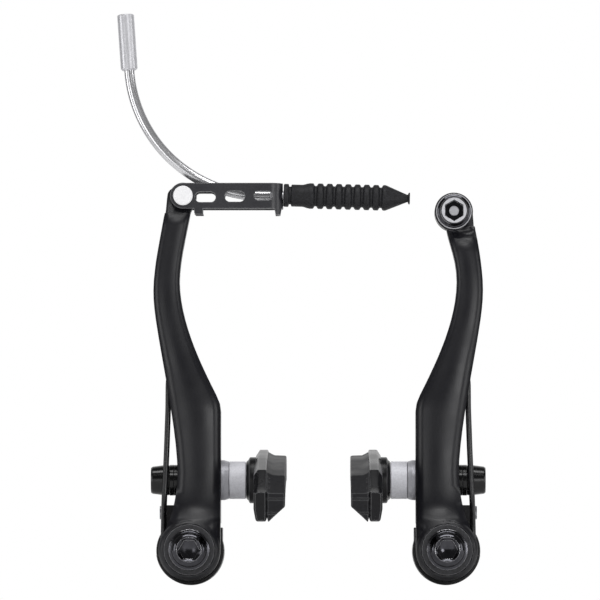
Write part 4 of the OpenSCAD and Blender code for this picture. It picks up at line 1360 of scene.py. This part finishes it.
@dataclass
class Studio:
    """Camera, lamps, world and a pale floor that keeps the shadow and can be seen through from below.

    Args:
        eye: The camera's place, in mm.
        target: What it looks at, in mm.
        lens: Its focal length, in mm.
        lamps: The soft lamps.
        aim: What the lamps look at, in mm.
        sensor: The camera's sensor width, in mm.
        ambient: Strength of the world's plain light.
        wall_from: How far back a reflection looks where the bright wall begins, as a share of its direction.
        wall_to: The same where the wall is at its full strength.
        wall_dim: The wall's strength towards the front, as a glossy surface sees it.
        under_from: How far down a reflection looks where it is dimmest.
        under_to: The same where the dimming ends.
        under_dim: The strength from straight below.
        floor_r: The floor's radius, in mm.
        floor_sides: Sides of the floor's disc.
        floor_gap: How far it lies under the object, in mm.
        fade_from: Distance from the middle at which the floor starts to fade, in mm.
        fade_to: The same where it is gone.
    """

    eye: Point = (4.22, -1829.25, -36.02)
    target: Point = (-5.68, 0.0, 78.2)
    lens: float = 352.0
    lamps: list[Lamp] = field(
        default_factory=lambda: [
            Lamp("top_lamp", (0.0, -0.35, 1.1), 1.1, 0.3, 6.0),
            Lamp("brow_lamp", (0.0, -1.0, 1.0), 0.6, 0.18, 3.5),
            Lamp("right_key", (0.75, -1.4, -0.05), 0.6, 0.6, 6.5),
            Lamp("left_key", (-0.75, -1.4, -0.05), 0.6, 0.6, 2.6),
            Lamp("right_strip", (1.0, -0.3, 0.05), 0.4, 0.7, 2.2),
            Lamp("left_strip", (-1.0, -0.3, 0.05), 0.4, 0.7, 2.2),
        ]
    )
    aim: Point = (0.0, 0.0, 60.0)
    sensor: float = 36.0
    ambient: float = 0.4
    wall_from: float = 0.4
    wall_to: float = 0.85
    wall_dim: float = 0.1
    under_from: float = -0.9
    under_to: float = -0.2
    under_dim: float = 0.45
    floor_r: float = 600.0
    floor_sides: int = 96
    floor_gap: float = 0.2
    fade_from: float = 160.0
    fade_to: float = 500.0

    def _aimed(self, piece: bpy.types.Object, place: Vector, target: Vector) -> None:
        """Places an object and turns it to look at a target."""
        piece.location = place
        piece.rotation_euler = (target - place).to_track_quat("-Z", "Y").to_euler()

    def camera(self) -> None:
        """Sets the camera at the photograph's angle."""
        data = bpy.data.cameras.new("camera")
        data.lens = self.lens
        data.sensor_width = self.sensor
        piece = bpy.data.objects.new("camera", data)
        bpy.context.scene.collection.objects.link(piece)
        self._aimed(piece, Vector(self.eye) * MM, Vector(self.target) * MM)
        bpy.context.scene.camera = piece

    def light(self) -> None:
        """Hangs the lamps."""
        for lamp in self.lamps:
            data = bpy.data.lights.new(lamp.name, "AREA")
            data.shape = "RECTANGLE"
            data.size, data.size_y, data.energy = lamp.width, lamp.height, lamp.watts
            piece = bpy.data.objects.new(lamp.name, data)
            bpy.context.scene.collection.objects.link(piece)
            self._aimed(piece, Vector(lamp.place), Vector(self.aim) * MM)

    def world(self) -> None:
        """A white background to the eye and in reflections towards the back, dimmer towards the front and below, with
        a plain ambient light.
        """
        world = bpy.data.worlds.new("studio")
        world.use_nodes = True
        tree = world.node_tree
        tree.nodes.clear()
        path = add_node(tree, "ShaderNodeLightPath")
        way = add_node(tree, "ShaderNodeTexCoord").outputs["Generated"]
        parts = add_node(tree, "ShaderNodeSeparateXYZ", None, {"Vector": way})
        wall = {"From Min": self.wall_from, "From Max": self.wall_to, "To Min": self.wall_dim, "To Max": 1.0}
        backdrop = add_node(tree, "ShaderNodeMapRange", wall, {"Value": parts.outputs["Y"]})
        low = {"From Min": self.under_from, "From Max": self.under_to, "To Min": self.under_dim, "To Max": 1.0}
        under = add_node(tree, "ShaderNodeMapRange", low, {"Value": parts.outputs["Z"]})
        both = {"Value": under.outputs[0], "Value_001": backdrop.outputs[0]}
        mirror = add_node(tree, "ShaderNodeMath", {"operation": "MULTIPLY"}, both)
        soft = add_node(
            tree,
            "ShaderNodeMix",
            {"data_type": "FLOAT", "A_Float": self.ambient},
            {"Factor": path.outputs["Is Glossy Ray"], "B_Float": mirror.outputs[0]},
        )
        through = add_node(
            tree,
            "ShaderNodeMix",
            {"data_type": "FLOAT", "B_Float": 1.0},
            {"Factor": path.outputs["Is Transmission Ray"], "A_Float": port(soft.outputs, "Result_Float")},
        )
        seen = add_node(
            tree,
            "ShaderNodeMix",
            {"data_type": "FLOAT", "B_Float": 1.0},
            {"Factor": path.outputs["Is Camera Ray"], "A_Float": port(through.outputs, "Result_Float")},
        )
        strength = {"Strength": port(seen.outputs, "Result_Float")}
        glow = add_node(tree, "ShaderNodeBackground", {"Color": linear("#ffffff")}, strength)
        add_node(tree, "ShaderNodeOutputWorld", None, {"Surface": glow.outputs[0]})
        bpy.context.scene.world = world

    def floor(self, low: float) -> None:
        """Lays a pale disc under the object: it fades out at its rim and shows from above only.

        Args:
            low: The object's lowest height, in metres.
        """
        shape = bmesh.new()
        bmesh.ops.create_circle(shape, cap_ends=True, segments=self.floor_sides, radius=self.floor_r * MM)
        mesh = bpy.data.meshes.new("floor")
        shape.to_mesh(mesh)
        shape.free()
        mesh.transform(Matrix.Translation((0, 0, low - self.floor_gap * MM)))
        paint = bpy.data.materials.new("matt_paper_floor")
        paint.use_nodes = True
        tree = paint.node_tree
        tree.nodes.clear()
        place = add_node(tree, "ShaderNodeTexCoord").outputs["Object"]
        away = add_node(tree, "ShaderNodeVectorMath", {"operation": "LENGTH"}, {"Vector": place})
        fade = {"interpolation_type": "SMOOTHSTEP", "From Min": self.fade_from * MM, "From Max": self.fade_to * MM}
        rim = add_node(tree, "ShaderNodeMapRange", fade, {"Value": away.outputs["Value"]})
        below = add_node(tree, "ShaderNodeNewGeometry").outputs["Backfacing"]
        unseen = {"Value": rim.outputs[0], "Value_001": below}
        gone = add_node(tree, "ShaderNodeMath", {"operation": "MAXIMUM"}, unseen)
        paper = add_node(tree, "ShaderNodeBsdfDiffuse", {"Color": linear("#f4f4f4")})
        clear = add_node(tree, "ShaderNodeBsdfTransparent")
        layers = {"Fac": gone.outputs[0], "Shader": paper.outputs[0], "Shader_001": clear.outputs[0]}
        both = add_node(tree, "ShaderNodeMixShader", None, layers)
        add_node(tree, "ShaderNodeOutputMaterial", None, {"Surface": both.outputs[0]})
        mesh.materials.append(paint)
        new_piece("floor", mesh)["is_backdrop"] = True

    def build(self, low: float) -> None:
        """Sets up the studio over the object's lowest point.

        Args:
            low: The object's lowest height, in metres.
        """
        self.camera()
        self.light()
        self.world()
        self.floor(low)
        bpy.context.scene.view_settings.view_transform = "Standard"
        LOG.info("studio is set over %.4f m", low)


def main() -> None:
    """Sets up the studio over the CAD model's lowest point, then builds the brake's pieces in order."""
    logging.basicConfig(level=logging.INFO, format="%(name)s: %(message)s", stream=sys.stdout)
    FRAME.update(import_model())
    cad_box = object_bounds()
    Studio().build(cad_box[0].z)
    for side in Side:
        PivotStation(side).build()
        BrakeArm(side).build()
        ReturnSpring(side).build()
        PadClamp(side).build()
        BrakePad(side).build()
    CableLink().build()
    BellowsBoot().build()
    CableAnchor().build()


if __name__ == "__main__":
    main()
